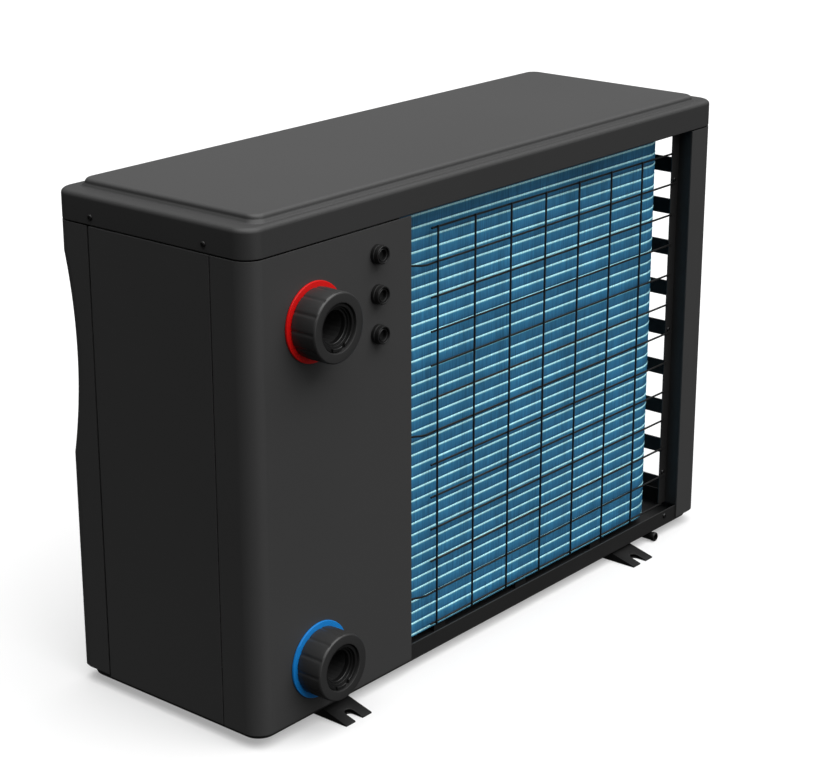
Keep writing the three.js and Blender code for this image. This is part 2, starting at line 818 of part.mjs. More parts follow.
function filterDrier() {
  const x = exchangerStubX - gap;
  return turnedX([
    [0, -drierLength], [5, -drierLength], [5, -drierLength + 6], [11, -drierLength + 12], [11, -12],
    [5, -6], [5, 0], [0, 0],
  ], 16).translate(x, exchangerY, liquidZ);
}

function expansionValve() {
  const body = turnedZ([[0, -12], [8, -12], [8, 14], [13, 14], [13, 44], [10, 48], [0, 48]], 16);
  return join(body, turnedX(rod(pipeRadius, -8, 8), 12));
}

function waterHeatExchanger() {
  const [low, high] = [footHeight + 36, footHeight + 546];
  const r = exchangerRadius;
  const tank = turnedZ([
    [0, footHeight + sheet + gap], [42, footHeight + sheet + gap], [42, low - 4], [r - 10, low],
    [r, low + 14], [r, high - 14], [r - 10, high], [0, high + 8],
  ], 24);
  const boss = (z) => turnedY(rod(27, r - 18, portPipeY - exchangerY), 16).translate(0, 0, z);
  const gasStub = turnedY(rod(pipeRadius, -r - 10, -r + 6), 8)
    .translate(valveX + valvePortPitch - unionX, 0, 340);
  const liquidStub = turnedX(rod(pipeRadius, -r - 10, -r + 6), 8).translate(0, 0, liquidZ);
  return join(tank, boss(outletZ), boss(inletZ), gasStub, liquidStub);
}

// ---------------------------------------------------------------- water unions

const portPipeY = exchangerY + exchangerRadius;
const threadEndY = backY + unionReach - 15.5;
const nutFaceY = backY + unionReach;

function portPipe() {
  return turnedY([
    [boreRadius, portPipeY + gap], [25, portPipeY + gap], [25, backY - 12], [35, backY - 12],
    [35, threadEndY], [boreRadius, threadEndY], [boreRadius, portPipeY + gap],
  ]);
}

function unionRing() {
  return turnedY(collar(nutBoreRadius + 1, ringRadius, backY + gap, backY + 3.2), 24);
}

// The nut turns round the threaded end of the port and holds the tail against it.
function unionNut() {
  const lipY = nutFaceY - 8;
  return turnedY([
    [nutBoreRadius, backY + 3.8], [nutRadius, backY + 3.8], [nutRadius, nutFaceY - 1.5],
    [nutRadius - 1.5, nutFaceY], [nutMouthRadius, nutFaceY], [nutMouthRadius, lipY],
    [nutBoreRadius, lipY], [nutBoreRadius, backY + 3.8],
  ], 24);
}

function unionTail() {
  const flangeFrontY = nutFaceY - 8 - 0.6;
  const tailEndY = nutFaceY - 3;
  return turnedY([
    [boreRadius, threadEndY + gap], [35, threadEndY + gap], [35, flangeFrontY], [29, flangeFrontY],
    [29, tailEndY], [25, tailEndY], [25, tailEndY - 6], [boreRadius, tailEndY - 6],
    [boreRadius, threadEndY + gap],
  ]);
}

function flowSwitch() {
  return join(
    turnedZ(rod(9, inletZ + 25 + gap, inletZ + 48), 16),
    box(-13, 13, -9, 9, inletZ + 47, inletZ + 66),
  );
}

// ---------------------------------------------------------------- electrics

const finFrontY = -58;
const finBackY = 38;
const finFootZ = 492;
const finTopZ = 568;

function heatsink() {
  const baseX = partitionX + sheet + gap;
  const base = box(baseX, baseX + 5, finFrontY - 12, finBackY + 12, finFootZ - 12, finTopZ + 12);
  const fins = [];
  const finCount = 9;
  for (let k = 0; k < finCount; k += 1) {
    const y = finFrontY + (k * (finBackY - finFrontY - 3)) / (finCount - 1);
    fins.push(box(baseX - 24, baseX + 1, y, y + 3, finFootZ, finTopZ));
  }
  return join(base, ...fins);
}

function electricalBox() {
  return cut(
    box(electricsX, electricsX + electricsDepth, electricsFrontY, electricsBackY, electricsFootZ,
      electricsTopZ),
    box(electricsX + sheet, electricsX + electricsDepth + 1, electricsFrontY + sheet,
      electricsBackY - sheet, electricsFootZ + sheet, electricsTopZ - sheet),
  );
}

function electricalCover() {
  const x = electricsX + electricsDepth + gap;
  return join(
    box(x, x + sheet, electricsFrontY, electricsBackY, electricsFootZ, electricsTopZ),
    box(x - 8, x + 1, electricsFrontY + 3, electricsBackY - 3, electricsTopZ - 5, electricsTopZ - 3),
  );
}

function inverterBoard() {
  const x = electricsX + sheet + 6;
  const board = box(x, x + sheet, electricsFrontY + 12, electricsBackY - 12, electricsFootZ + 12,
    electricsTopZ - 12);
  const capacitors = [-50, 0, 50].map((y) =>
    turnedX(rod(14, 0, 38), 16).translate(x + 1, y, electricsTopZ - 60));
  return join(board, ...capacitors);
}

const glandZs = [0, 1, 2].map((k) => glandTopZ - k * glandPitch);

function cableGland() {
  return turnedY([
    [4.5, backY - 12], [7.8, backY - 12], [7.8, backY + gap], [glandRadius, backY + gap],
    [glandRadius, backY + glandReach - 4], [glandRadius - 2.5, backY + glandReach],
    [8, backY + glandReach], [8, backY + glandReach - 3], [4.5, backY + glandReach - 3],
    [4.5, backY - 12],
  ], 16);
}

// ---------------------------------------------------------------- controller

const buttonXs = [];
for (let k = 0; k < buttonCount; k += 1) {
  buttonXs.push((k - (buttonCount - 1) / 2) * buttonPitch);
}
const buttonZ = -22;
const lensHalfWidth = 44;
const lensLowZ = -8;
const lensHighZ = 30;

// Local to the middle of the controller's face: x across, z up, y from 0 at the face inwards.
function controllerHousing() {
  const [halfW, halfH] = [controllerWidth / 2, controllerHeight / 2];
  const wall = 3;
  const reach = buttonSide / 2 + gap;
  const holes = buttonXs.map((x) =>
    box(x - reach, x + reach, -1, wall + 1, buttonZ - reach, buttonZ + reach));
  return cut(
    prismY(roundedRect(-halfW, halfW, -halfH, halfH, 5), 0, 26, 2),
    box(-halfW + wall, halfW - wall, wall, 27, -halfH + wall, halfH - wall),
    box(-lensHalfWidth - gap, lensHalfWidth + gap, -1, wall + 1, lensLowZ - gap, lensHighZ + gap),
    ...holes,
  );
}

function displayLens() {
  return box(-lensHalfWidth, lensHalfWidth, 0.6, 3, lensLowZ, lensHighZ);
}

function button() {
  const half = buttonSide / 2;
  return join(
    prismY(roundedRect(-half, half, -half, half, 2), -2, 4.5, 2),
    prismY(roundedRect(-half - 1.4, half + 1.4, -half - 1.4, half + 1.4, 1), 3.8, 5.4, 1),
  );
}

// ---------------------------------------------------------------- condensate drain

const drainX = endX - 850;
const drainZ = footHeight - 7;
const drainHoleY = backY - 38;

// A bent spigot under the pan that ends just behind its back edge.
function drainSpigot() {
  const outer = pipe([
    [drainX, drainHoleY, footHeight - gap], [drainX, drainHoleY, drainZ],
    [drainX, backY + 3, drainZ],
  ], 6.2, 6, 10);
  return cut(outer, turnedY(rod(4, backY - 12, backY + 10), 12).translate(drainX, 0, drainZ));
}

// ---------------------------------------------------------------- assembly

add('base_pan', basePan(), finish.darkPaint);
add('foot_rail_right', footRail(), finish.darkPaint, railRightX);
add('foot_rail_left', footRail(), finish.darkPaint, railLeftX);
add('lid', lid(), finish.paint);
add('front_panel', frontPanel(), finish.paint);
add('service_panel', servicePanel(), finish.paint);
add('rear_corner_panel', rearCornerPanel(), finish.paint);
add('coil_end_panel', coilEndPanel(), finish.paint);
add('partition_plate', partitionPlate(), finish.zinc);
lidScrewYs.forEach((y, k) => add(`lid_screw_${k + 1}`, lidScrew(), finish.wire, endX, y, lidScrewZ));

add('coil_guard', coilGuard(), finish.wire);
add('fan_grille', fanGrille(), finish.wire);
add('bell_mouth', bellMouth(), finish.blackPlastic);
add('evaporator_coil', coilBlock(), finish.fins);
add('coil_tube_sheet', tubeSheet(), finish.zinc);

add('fan_wheel', fanWheel(), finish.greyPlastic, fanX, 0, fanZ);
add('fan_shaft', turnedY(rod(5, hubFrontY - 10, motorFaceY + 36), 16), finish.steel, fanX, 0, fanZ);
add('fan_nut', turnedY(collar(5.5, 11, hubFrontY - 8, hubFrontY - gap), 12), finish.zinc, fanX, 0, fanZ);
add('fan_motor', fanMotor(), finish.aluminium, fanX, 0, fanZ);
add('motor_bracket', motorBracket(), finish.zinc);

add('compressor', compressor(), finish.shell, compressorX, compressorY);
grommetOffsets.forEach(([x, y], k) =>
  add(`compressor_grommet_${k + 1}`, grommet(), finish.rubber, compressorX + x, compressorY + y));
add('compressor_terminal_cover', terminalCover(), finish.blackPlastic,
  compressorX, compressorY + compressorRadius + gap);
add('accumulator', accumulator(), finish.shell, accumulatorX, accumulatorY);
add('reversing_valve', reversingValve(), finish.brass, valveX, compressorY, valveZ);
refrigerantPipes();
add('filter_drier', filterDrier(), finish.copper);
add('expansion_valve', expansionValve(), finish.brass, expansionX, exchangerY, liquidZ);
add('water_heat_exchanger', waterHeatExchanger(), finish.whitePlastic, unionX, exchangerY);

[['outlet', outletZ, finish.red], ['inlet', inletZ, finish.blue]].forEach(([side, z, tint]) => {
  add(`${side}_port_pipe`, portPipe(), finish.blackPlastic, unionX, 0, z);
  add(`${side}_ring`, unionRing(), tint, unionX, 0, z);
  add(`${side}_union_nut`, unionNut(), finish.blackPlastic, unionX, 0, z);
  add(`${side}_union_tail`, unionTail(), finish.blackPlastic, unionX, 0, z);
});
add('flow_switch', flowSwitch(), finish.blackPlastic, unionX, portPipeY + 20);

add('inverter_heatsink', heatsink(), finish.aluminium);
add('electrical_box', electricalBox(), finish.zinc);
add('electrical_box_cover', electricalCover(), finish.zinc);
add('inverter_board', inverterBoard(), finish.board);
glandZs.forEach((z, k) => add(`cable_gland_${k + 1}`, cableGland(), finish.blackPlastic, glandX, 0, z));

add('controller_housing', controllerHousing(), finish.blackPlastic, controllerX, controllerFaceY, controllerZ);
add('display_lens', displayLens(), finish.glass, controllerX, controllerFaceY, controllerZ);
buttonXs.forEach((x, k) => add(`button_${k + 1}`, button(), finish.greyPlastic,
  controllerX + x, controllerFaceY, controllerZ + buttonZ));

add('drain_spigot', drainSpigot(), finish.blackPlastic);

// The origin goes to the middle of the box round everything, on the ground.
const bounds = new THREE.Box3().setFromObject(unit);
const middle = bounds.getCenter(new THREE.Vector3());
unit.position.set(-middle.x, -middle.y, 0);

export default unit;
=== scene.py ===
# The looks of the pool heat pump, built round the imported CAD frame.
# Blender works in metres. The pieces below are drawn in millimetres in the case's own frame, with X and Y
# from the middle of the case and Z from the ground, and place() puts them where the frame is.
import json
import math

import bmesh
import bpy
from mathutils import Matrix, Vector


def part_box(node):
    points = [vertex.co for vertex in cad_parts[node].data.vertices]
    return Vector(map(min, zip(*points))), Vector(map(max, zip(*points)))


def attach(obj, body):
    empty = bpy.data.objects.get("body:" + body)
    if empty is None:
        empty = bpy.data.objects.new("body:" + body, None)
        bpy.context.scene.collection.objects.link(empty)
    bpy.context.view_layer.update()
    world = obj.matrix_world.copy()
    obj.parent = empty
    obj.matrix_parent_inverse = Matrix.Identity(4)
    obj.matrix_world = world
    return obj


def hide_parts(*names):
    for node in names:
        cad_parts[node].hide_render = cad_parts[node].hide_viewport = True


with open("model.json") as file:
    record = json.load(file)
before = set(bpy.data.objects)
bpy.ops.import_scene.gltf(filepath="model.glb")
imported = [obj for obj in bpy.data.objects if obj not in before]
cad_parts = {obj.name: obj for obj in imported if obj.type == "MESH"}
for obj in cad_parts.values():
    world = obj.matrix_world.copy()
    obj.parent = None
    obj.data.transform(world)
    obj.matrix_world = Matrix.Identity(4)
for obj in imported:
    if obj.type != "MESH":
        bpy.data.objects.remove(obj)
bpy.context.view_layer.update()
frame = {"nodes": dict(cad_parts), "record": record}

# ---------------------------------------------------------------- the frame's own dimensions, in millimetres

MM = 0.001


def low(node):
    """The low corner of a node's box, in the frame."""
    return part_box(node)[0] / MM


def high(node):
    """The high corner of a node's box, in the frame."""
    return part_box(node)[1] / MM


ORIGIN = (low("lid") + high("lid")) / 2
ORIGIN.z = 0


def span(node, axis):
    """Where a node starts and ends along an axis, from the case's middle."""
    k = "xyz".index(axis)
    return low(node)[k] - ORIGIN[k], high(node)[k] - ORIGIN[k]


def middle_of(node, axis):
    """The middle of a node along an axis, from the case's middle."""
    k = "xyz".index(axis)
    return (low(node)[k] + high(node)[k]) / 2 - ORIGIN[k]


END_X = high("lid").x - ORIGIN.x
BACK_Y = high("lid").y - ORIGIN.y
LID_FOOT_Z = low("lid").z
TOP_Z = high("lid").z
PANEL_FOOT_Z = low("service_panel").z
PANEL_TOP_Z = high("service_panel").z
FRONT_SEAM_Y, CORNER_SEAM_Y = span("service_panel", "y")
CORNER_PANEL_X = span("rear_corner_panel", "x")[0]
PAN_FOOT_Z = low("base_pan").z
PAN_TOP_Z = high("base_pan").z
SEAM_Z = PANEL_TOP_Z - 0.9  # the shown panels stop here, so that the seam under the lid shows
CORNER = 25  # radius of the case's upright corners
SHEET = 2  # thickness of the sheet metal
HAIR = 0.4  # the room left between neighbours
POST_X = -END_X + 59
FLANGE_EDGE_X = POST_X + 16
FLANGE_Y = BACK_Y - 22
SCOOP_LOW_Z = PAN_FOOT_Z + 298
SCOOP_HIGH_Z = PAN_FOOT_Z + 560
SCOOP_DEPTH = 14.3
UNION_X = middle_of("outlet_ring", "x")
OUTLET_Z = middle_of("outlet_ring", "z")
INLET_Z = middle_of("inlet_ring", "z")
FAN_X = middle_of("bell_mouth", "x")
FAN_Z = middle_of("bell_mouth", "z")
GLAND_X = middle_of("cable_gland_1", "x")
GLAND_ZS = [middle_of(f"cable_gland_{number}", "z") for number in (1, 2, 3)]

COIL_END_X, COIL_START_X = span("evaporator_coil", "x")
COIL_FRONT_Y, COIL_BACK_Y = span("evaporator_coil", "y")
COIL_LOW_Z, COIL_HIGH_Z = span("evaporator_coil", "z")
COIL_THICKNESS = 36
COIL_BEND = 55
CREASE_PITCH = 15.8  # one step of the fins' corrugation
CREASE_FOOT = PAN_FOOT_Z + 33.9

WIRE = 1.45  # radius of the guard's wires
GUARD_LOW_Z, GUARD_HIGH_Z = span("coil_guard", "z")
GUARD_TOP_Z = GUARD_HIGH_Z - 3
GUARD_ROWS, GUARD_COLUMNS = 13, 7
LONG_ROWS = (1, 6, 11)  # counted from 0 at the top: these wires reach the panel and the flange's screws
GUARD_STEP_Z = (GUARD_HIGH_Z - GUARD_LOW_Z - 6) / (GUARD_ROWS - 1)
GUARD_FIRST_X = END_X - 356.7
GUARD_STEP_X = 75.5
GUARD_Y = span("coil_guard", "y")[0]


# ---------------------------------------------------------------- materials


def new_material(name):
    """A new material, with its node tree, its shader and the place on the object."""
    material = bpy.data.materials.new(name)
    material.use_nodes = True
    tree = material.node_tree
    shader = next(n for n in tree.nodes if n.type == "BSDF_PRINCIPLED")
    coordinates = tree.nodes.new("ShaderNodeTexCoord")
    return material, tree, shader, coordinates.outputs["Object"]


def noise(tree, vector, scale, detail=3.0, stretch=None):
    """Soft noise over the object. stretch squeezes it along X, Y and Z."""
    if stretch:
        mapping = tree.nodes.new("ShaderNodeMapping")
        mapping.inputs["Scale"].default_value = stretch
        tree.links.new(vector, mapping.inputs["Vector"])
        vector = mapping.outputs["Vector"]
    texture = tree.nodes.new("ShaderNodeTexNoise")
    texture.inputs["Scale"].default_value = scale
    texture.inputs["Detail"].default_value = detail
    tree.links.new(vector, texture.inputs["Vector"])
    return texture.outputs["Fac"]


def ramp(tree, factor, stops):
    """Colours by a factor, through stops of (position, colour)."""
    node = tree.nodes.new("ShaderNodeValToRGB")
    elements = node.color_ramp.elements
    while len(elements) < len(stops):
        elements.new(0.5)
    for element, (position, colour) in zip(elements, stops):
        element.position = position
        element.color = (*colour, 1)
    tree.links.new(factor, node.inputs["Fac"])
    return node.outputs["Color"]


def bump(tree, shader, height, strength, distance):
    """A fine relief on the surface, distance in metres."""
    node = tree.nodes.new("ShaderNodeBump")
    node.inputs["Strength"].default_value = strength
    node.inputs["Distance"].default_value = distance
    tree.links.new(height, node.inputs["Height"])
    tree.links.new(node.outputs["Normal"], shader.inputs["Normal"])


def to_range(tree, factor, lowest, highest, start=0.0, stop=1.0):
    """A factor from start to stop, brought to lowest to highest."""
    node = tree.nodes.new("ShaderNodeMapRange")
    node.inputs["To Min"].default_value = lowest
    node.inputs["To Max"].default_value = highest
    node.inputs["From Min"].default_value = start
    node.inputs["From Max"].default_value = stop
    tree.links.new(factor, node.inputs["Value"])
    return node.outputs["Result"]


def multiplied(tree, colour, factor):
    """A colour times a factor or another colour."""
    node = tree.nodes.new("ShaderNodeMix")
    node.data_type = "RGBA"
    node.blend_type = "MULTIPLY"
    node.inputs["Factor"].default_value = 1.0
    tree.links.new(colour, node.inputs["A"])
    tree.links.new(factor, node.inputs["B"])
    return node.outputs["Result"]


def height_on(tree, where):
    """The height of a place on the object."""
    split = tree.nodes.new("ShaderNodeSeparateXYZ")
    tree.links.new(where, split.inputs[0])
    return split.outputs["Z"]


def surface(name, dark, light, roughness, metallic=0.0, grain=900.0, depth=0.00008, patches=9.0,
            specular=0.5, spread=0.08, stretch=None, coat=0.0, painted_shade_below=None):
    """A material whose colour and gloss wander slowly over the piece, with a fine grain in its relief.

    Below the given height, in mm, the colour is about a quarter darker, as painted shade.
    """
    material, tree, shader, where = new_material(name)
    slow = noise(tree, where, patches, 4.0, stretch)
    fine = noise(tree, where, grain, 2.0, stretch)
    colour = ramp(tree, slow, [(0.3, dark), (0.7, light)])
    # Painted shade: the colour is darkened by about a quarter below the given height.
    if painted_shade_below:
        painted_shade_factor, blend = 0.74, 1.5
        share = to_range(tree, height_on(tree, where), painted_shade_factor, 1.0,
                         (painted_shade_below - blend) * MM, (painted_shade_below + blend) * MM)
        colour = multiplied(tree, colour, share)
    tree.links.new(colour, shader.inputs["Base Color"])
    gloss = to_range(tree, slow, roughness - spread, roughness + spread)
    tree.links.new(gloss, shader.inputs["Roughness"])
    shader.inputs["Metallic"].default_value = metallic
    shader.inputs["Specular IOR Level"].default_value = specular
    shader.inputs["Coat Weight"].default_value = coat
    bump(tree, shader, fine, 0.5, depth)
    return material


def grey(value, warm=0.0):
    """A grey. warm turns it from blue towards red."""
    return (value * (1 + warm), value, value * (1 - warm))


def coil_surface_with_painted_light():
    """Blue coated fins: thin upright streaks, and at each step of the fins' corrugation a painted highlight
    beside a band of painted shade.
    """
    material, tree, shader, where = new_material("fin_stock")

    def math_node(operation, *values):
        node = tree.nodes.new("ShaderNodeMath")
        node.operation = operation
        for socket, value in zip(node.inputs, values):
            if isinstance(value, (int, float)):
                socket.default_value = value
            else:
                tree.links.new(value, socket)
        return node.outputs[0]

    # Painted light at each step: painted shade on the underside of one step, its blue face painted lighter
    # upwards, and a painted highlight along the edge of the next.
    height = math_node("SUBTRACT", height_on(tree, where), CREASE_FOOT * MM)
    step = math_node("FRACT", math_node("DIVIDE", height, CREASE_PITCH * MM))
    painted_light_bands = ramp(tree, step, [
        (0.0, (0.012, 0.075, 0.150)),
        (0.07, (0.016, 0.090, 0.170)),
        (0.14, (0.026, 0.132, 0.262)),
        (0.72, (0.036, 0.190, 0.345)),
        (0.81, (0.060, 0.260, 0.420)),
        (0.85, (0.24, 0.68, 0.84)),
        (0.91, (0.66, 1.0, 1.0)),
        (0.975, (0.42, 0.88, 1.0)),
    ])
    streak = noise(tree, where, 60, 4.0, (9.0, 9.0, 0.55))
    patch = noise(tree, where, 7, 3.0)
    shade = math_node("MULTIPLY", to_range(tree, streak, 0.30, 1.70), to_range(tree, patch, 0.65, 1.35))
    tree.links.new(multiplied(tree, painted_light_bands, shade), shader.inputs["Base Color"])
    shader.inputs["Roughness"].default_value = 0.42
    shader.inputs["Metallic"].default_value = 0.0
    shader.inputs["Specular IOR Level"].default_value = 0.35
    fins = noise(tree, where, 420, 1.0, (1.0, 1.0, 0.02))
    bump(tree, shader, fins, 0.35, 0.0004)
    return material


CASE_PAINT = dict(dark=grey(0.038), light=grey(0.041), roughness=0.52, spread=0.03, patches=3.0, specular=0.3)

# A look for each material slot, and two looks that stand in for a slot's own: the lid's paint with painted
# shade over its lower steps, and deep_black.
MATERIALS = {
    "panel_paint": surface("panel_paint", **CASE_PAINT),
    "lid_paint_with_painted_shade": surface("lid_paint_with_painted_shade", **CASE_PAINT, painted_shade_below=TOP_Z - 3),
    "dark_paint": surface("dark_paint", grey(0.012), grey(0.016), 0.42,
                          spread=0.04, patches=5.0, specular=0.3),
    "deep_black": surface("deep_black", grey(0.006), grey(0.008), 0.38,
                          spread=0.04, patches=5.0, specular=0.35),
    "wire_coat": surface("wire_coat", grey(0.004), grey(0.006), 0.32, spread=0.04, specular=0.4),
    "zinc_sheet": surface("zinc_sheet", grey(0.42), grey(0.55), 0.42, 0.9, grain=300, patches=60),
    "bare_steel": surface("bare_steel", grey(0.42), grey(0.50), 0.34, 1.0, stretch=(1, 1, 12)),
    "fin_stock": coil_surface_with_painted_light(),
    "copper": surface("copper", (0.50, 0.20, 0.10), (0.62, 0.27, 0.14), 0.36, 1.0, patches=25),
    "brass": surface("brass", (0.52, 0.38, 0.13), (0.60, 0.45, 0.18), 0.36, 1.0, patches=25),
    "cast_aluminium": surface("cast_aluminium", grey(0.50), grey(0.60), 0.48, 1.0,
                              grain=500, depth=0.0002),
    "black_plastic": surface("black_plastic", grey(0.020), grey(0.024), 0.40, spread=0.04, specular=0.4),
    "grey_plastic": surface("grey_plastic", grey(0.055), grey(0.065), 0.48, depth=0.00012),
    "white_plastic": surface("white_plastic", grey(0.66, 0.01), grey(0.72, 0.01), 0.45),
    "compressor_shell": surface("compressor_shell", grey(0.010), grey(0.015), 0.34, coat=0.3),
    "rubber": surface("rubber", grey(0.012), grey(0.018), 0.85, grain=600, depth=0.0002),
    "red_plastic": surface("red_plastic", (0.56, 0.003, 0.003), (0.62, 0.005, 0.004), 0.42,
                           specular=0.3),
    "blue_plastic": surface("blue_plastic", (0.006, 0.17, 0.50), (0.008, 0.19, 0.55), 0.42,
                            specular=0.3),
    "board": surface("board", (0.012, 0.10, 0.035), (0.018, 0.13, 0.05), 0.4, patches=80),
    "lens": surface("lens", (0.006, 0.008, 0.010), (0.008, 0.010, 0.013), 0.08,
                    spread=0.02, depth=0.00001),
}

# ---------------------------------------------------------------- mesh helpers


def arc(centre_x, centre_y, radius, start, stop, steps):
    """Points on an arc, angles in degrees."""
    angles = [math.radians(start + (stop - start) * k / steps) for k in range(steps + 1)]
    return [(centre_x + radius * math.cos(a), centre_y + radius * math.sin(a)) for a in angles]


def circle(centre_x, centre_y, radius, steps):
    """Points round a whole circle."""
    angles = [2 * math.pi * k / steps for k in range(steps)]
    return [(centre_x + radius * math.cos(a), centre_y + radius * math.sin(a)) for a in angles]


def rounded_rect(x0, x1, y0, y1, radius, steps=10):
    """A rectangle with round corners, anticlockwise from the corner at (x1, y1)."""
    corners = [(x1, y1, 0), (x0, y1, 90), (x0, y0, 180), (x1, y0, 270)]
    points = []
    for x, y, start in corners:
        inward_x = -radius if x == x1 else radius
        inward_y = -radius if y == y1 else radius
        points += arc(x + inward_x, y + inward_y, radius, start, start + 90, steps)
    return points


def loft(loops, around=False):
    """A skin over rings of equally many points, closed by its end rings, or around from last to first."""
    bm = bmesh.new()
    rings = [[bm.verts.new(p) for p in loop] for loop in loops]
    count = len(rings[0])
    pairs = list(zip(rings, rings[1:]))
    if around:
        pairs.append((rings[-1], rings[0]))
    for a, b in pairs:
        for i in range(count):
            j = (i + 1) % count
            bm.faces.new((a[i], a[j], b[j], b[i]))
    if not around:
        bm.faces.new(list(reversed(rings[0])))
        bm.faces.new(rings[-1])
    bmesh.ops.recalc_face_normals(bm, faces=bm.faces)
    return bm


def prism(outline, start, stop, axis="z"):
    """An outline carried along an axis. On Z it is (x, y), on Y it is (x, z) and on X it is (y, z)."""
    point_at = {
        "z": lambda p, t: (p[0], p[1], t),
        "y": lambda p, t: (p[0], t, p[1]),
        "x": lambda p, t: (t, p[0], p[1]),
    }[axis]
    return loft([[point_at(p, t) for p in outline] for t in (start, stop)])


def block(x0, x1, y0, y1, z0, z1):
    """A plain box."""
    return prism([(x0, y0), (x1, y0), (x1, y1), (x0, y1)], z0, z1)


def turned(profile, x, z, segments=64, wave=None):
    """A closed profile of (radius, y) turned about the axis along Y at (x, z). wave adds to each radius."""
    rings = []
    for k in range(segments):
        angle = 2 * math.pi * k / segments
        ring = []
        for radius, y in profile:
            r = radius + (wave(angle, radius, y) if wave else 0)
            ring.append((x + r * math.cos(angle), y, z + r * math.sin(angle)))
        rings.append(ring)
    return loft(rings, around=True)


def tube(points, radius, sides):
    """A round wire or pipe along points."""
    path = [Vector(p) for p in points]
    rings = []
    up = None
    for k, point in enumerate(path):
        before, after = path[max(k - 1, 0)], path[min(k + 1, len(path) - 1)]
        along = (after - before).normalized()
        if up is None:
            up = Vector((0, 0, 1)) if abs(along.z) < 0.9 else Vector((0, 1, 0))
        side = along.cross(up).normalized()
        up = side.cross(along).normalized()
        angles = [2 * math.pi * i / sides for i in range(sides)]
        rings.append([point + radius * (math.cos(a) * side + math.sin(a) * up) for a in angles])
    return loft(rings)


def merged(*parts):
    """Several bmeshes as one, freeing them."""
    whole = bmesh.new()
    for part in parts:
        mesh = bpy.data.meshes.new("part")
        part.to_mesh(mesh)
        part.free()
        whole.from_mesh(mesh)
        bpy.data.meshes.remove(mesh)
    return whole


def raw_object(name, bm):
    """A bmesh as an object in the scene, freeing it."""
    mesh = bpy.data.meshes.new(name)
    bm.to_mesh(mesh)
    bm.free()
    obj = bpy.data.objects.new(name, mesh)
    bpy.context.scene.collection.objects.link(obj)
    return obj


def applied(obj):
    """Turns the object's modifiers into its mesh."""
    depsgraph = bpy.context.evaluated_depsgraph_get()
    made = bpy.data.meshes.new_from_object(obj.evaluated_get(depsgraph))
    obj.modifiers.clear()
    obj.data = made


def carve(bm, *cutters):
    """bm with the cutters taken away, as a bmesh."""
    body = raw_object("body", bm)
    tools = [raw_object("tool", cutter) for cutter in cutters]
    for tool in tools:
        modifier = body.modifiers.new("cut", "BOOLEAN")
        modifier.operation = "DIFFERENCE"
        modifier.solver = "EXACT"
        modifier.object = tool
    applied(body)
    result = bmesh.new()
    result.from_mesh(body.data)
    for obj in [body, *tools]:
        bpy.data.objects.remove(obj)
    return result


def place(name, bm, slot, body="case", replaces=(), edge=0.0, edge_steps=2, sharp=32, look=None):
    """Makes bm a piece of the object: bevelled, smooth, in metres at the frame's place, with its material.

    edge is the bevel's width, sharp the angle from which an edge is bevelled and shaded as sharp, and look a
    material that stands in for the slot's own.
    """
    for v in bm.verts:
        v.co = (v.co + ORIGIN) * MM
    obj = raw_object(name, bm)
    if edge:
        modifier = obj.modifiers.new("edge", "BEVEL")
        modifier.width = edge * MM
        modifier.segments = edge_steps
        modifier.limit_method = "ANGLE"
        modifier.angle_limit = math.radians(sharp)
        applied(obj)
    mesh = obj.data
    mesh.polygons.foreach_set("use_smooth", [True] * len(mesh.polygons))
    mesh.set_sharp_from_angle(angle=math.radians(sharp))
    weighted = obj.modifiers.new("flat faces stay flat", "WEIGHTED_NORMAL")
    weighted.keep_sharp = True
    weighted.weight = 90
    applied(obj)
    obj.data.materials.clear()
    obj.data.materials.append(MATERIALS[look or slot])
    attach(obj, body)
    if replaces:
        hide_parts(*replaces)
    return obj


# ---------------------------------------------------------------- case


def lid():
    """The pressed lid: skirt, round shoulder, a ledge with a groove, a bead and the raised plateau."""
    shoulder, crown = 6, 5
    ledge = TOP_Z - 9
    crown_end = 35.4  # where the crown's curve ends, from the lid's end face
    crown_start = crown_end - crown
    front_back_gain = 14.8  # the plateau comes this much closer to the front and back than to the ends
    quarter_turn = [math.radians(t) for t in range(0, 91, 15)]

    # Each row: the inset from the ends, the inset from front and back, the height, the corner's radius.
    profile = [
        (SHEET, SHEET, LID_FOOT_Z + 30, 23), (SHEET, SHEET, LID_FOOT_Z + 0.4, 23),
        (1.4, 1.4, LID_FOOT_Z, 24), (0.9, 0.9, LID_FOOT_Z, 24.4),
        (0.3, 0.3, LID_FOOT_Z + 0.5, 24.8), (0, 0, LID_FOOT_Z + 1.3, CORNER),
    ]
    for t in quarter_turn:
        inset = shoulder * (1 - math.cos(t))
        profile.append((inset, inset, ledge - shoulder + shoulder * math.sin(t), CORNER - inset * 0.6))
    profile += [
        (14, 8, ledge + 0.1, 19), (21, 9.5, ledge, 18),
        (23.5, 10.3, ledge - 0.6, 17.5), (25.5, 11.3, ledge - 0.8, 17),
        (27.2, 12.4, ledge - 0.2, 16.5), (28.2, 13.4, ledge + 1.2, 16),
        (29.2, 14.4, ledge + 2.3, 15.5), (30.0, 15.2, ledge + 3.0, 15),
    ]
    for t in quarter_turn:
        inset = crown_end - crown * math.cos(t)
        height = TOP_Z - crown + crown * math.sin(t)
        profile.append((inset, inset - front_back_gain, height, 15 - (inset - crown_start) * 0.4))

    loops = []
    for inset_x, inset_y, z, radius in profile:
        half_x, half_y = END_X - inset_x, BACK_Y - inset_y
        outline = rounded_rect(-half_x, half_x, -half_y, half_y, radius, 14)
        loops.append([(x, y, z) for x, y in outline])
    # The lid's look paints shade on everything below the plateau's top: the crown's edge, the bead, the
    # ledge, the shoulder and the skirt.
    place("lid_pressing", loft(loops), "panel_paint", replaces=["lid"], sharp=50, look="lid_paint_with_painted_shade")


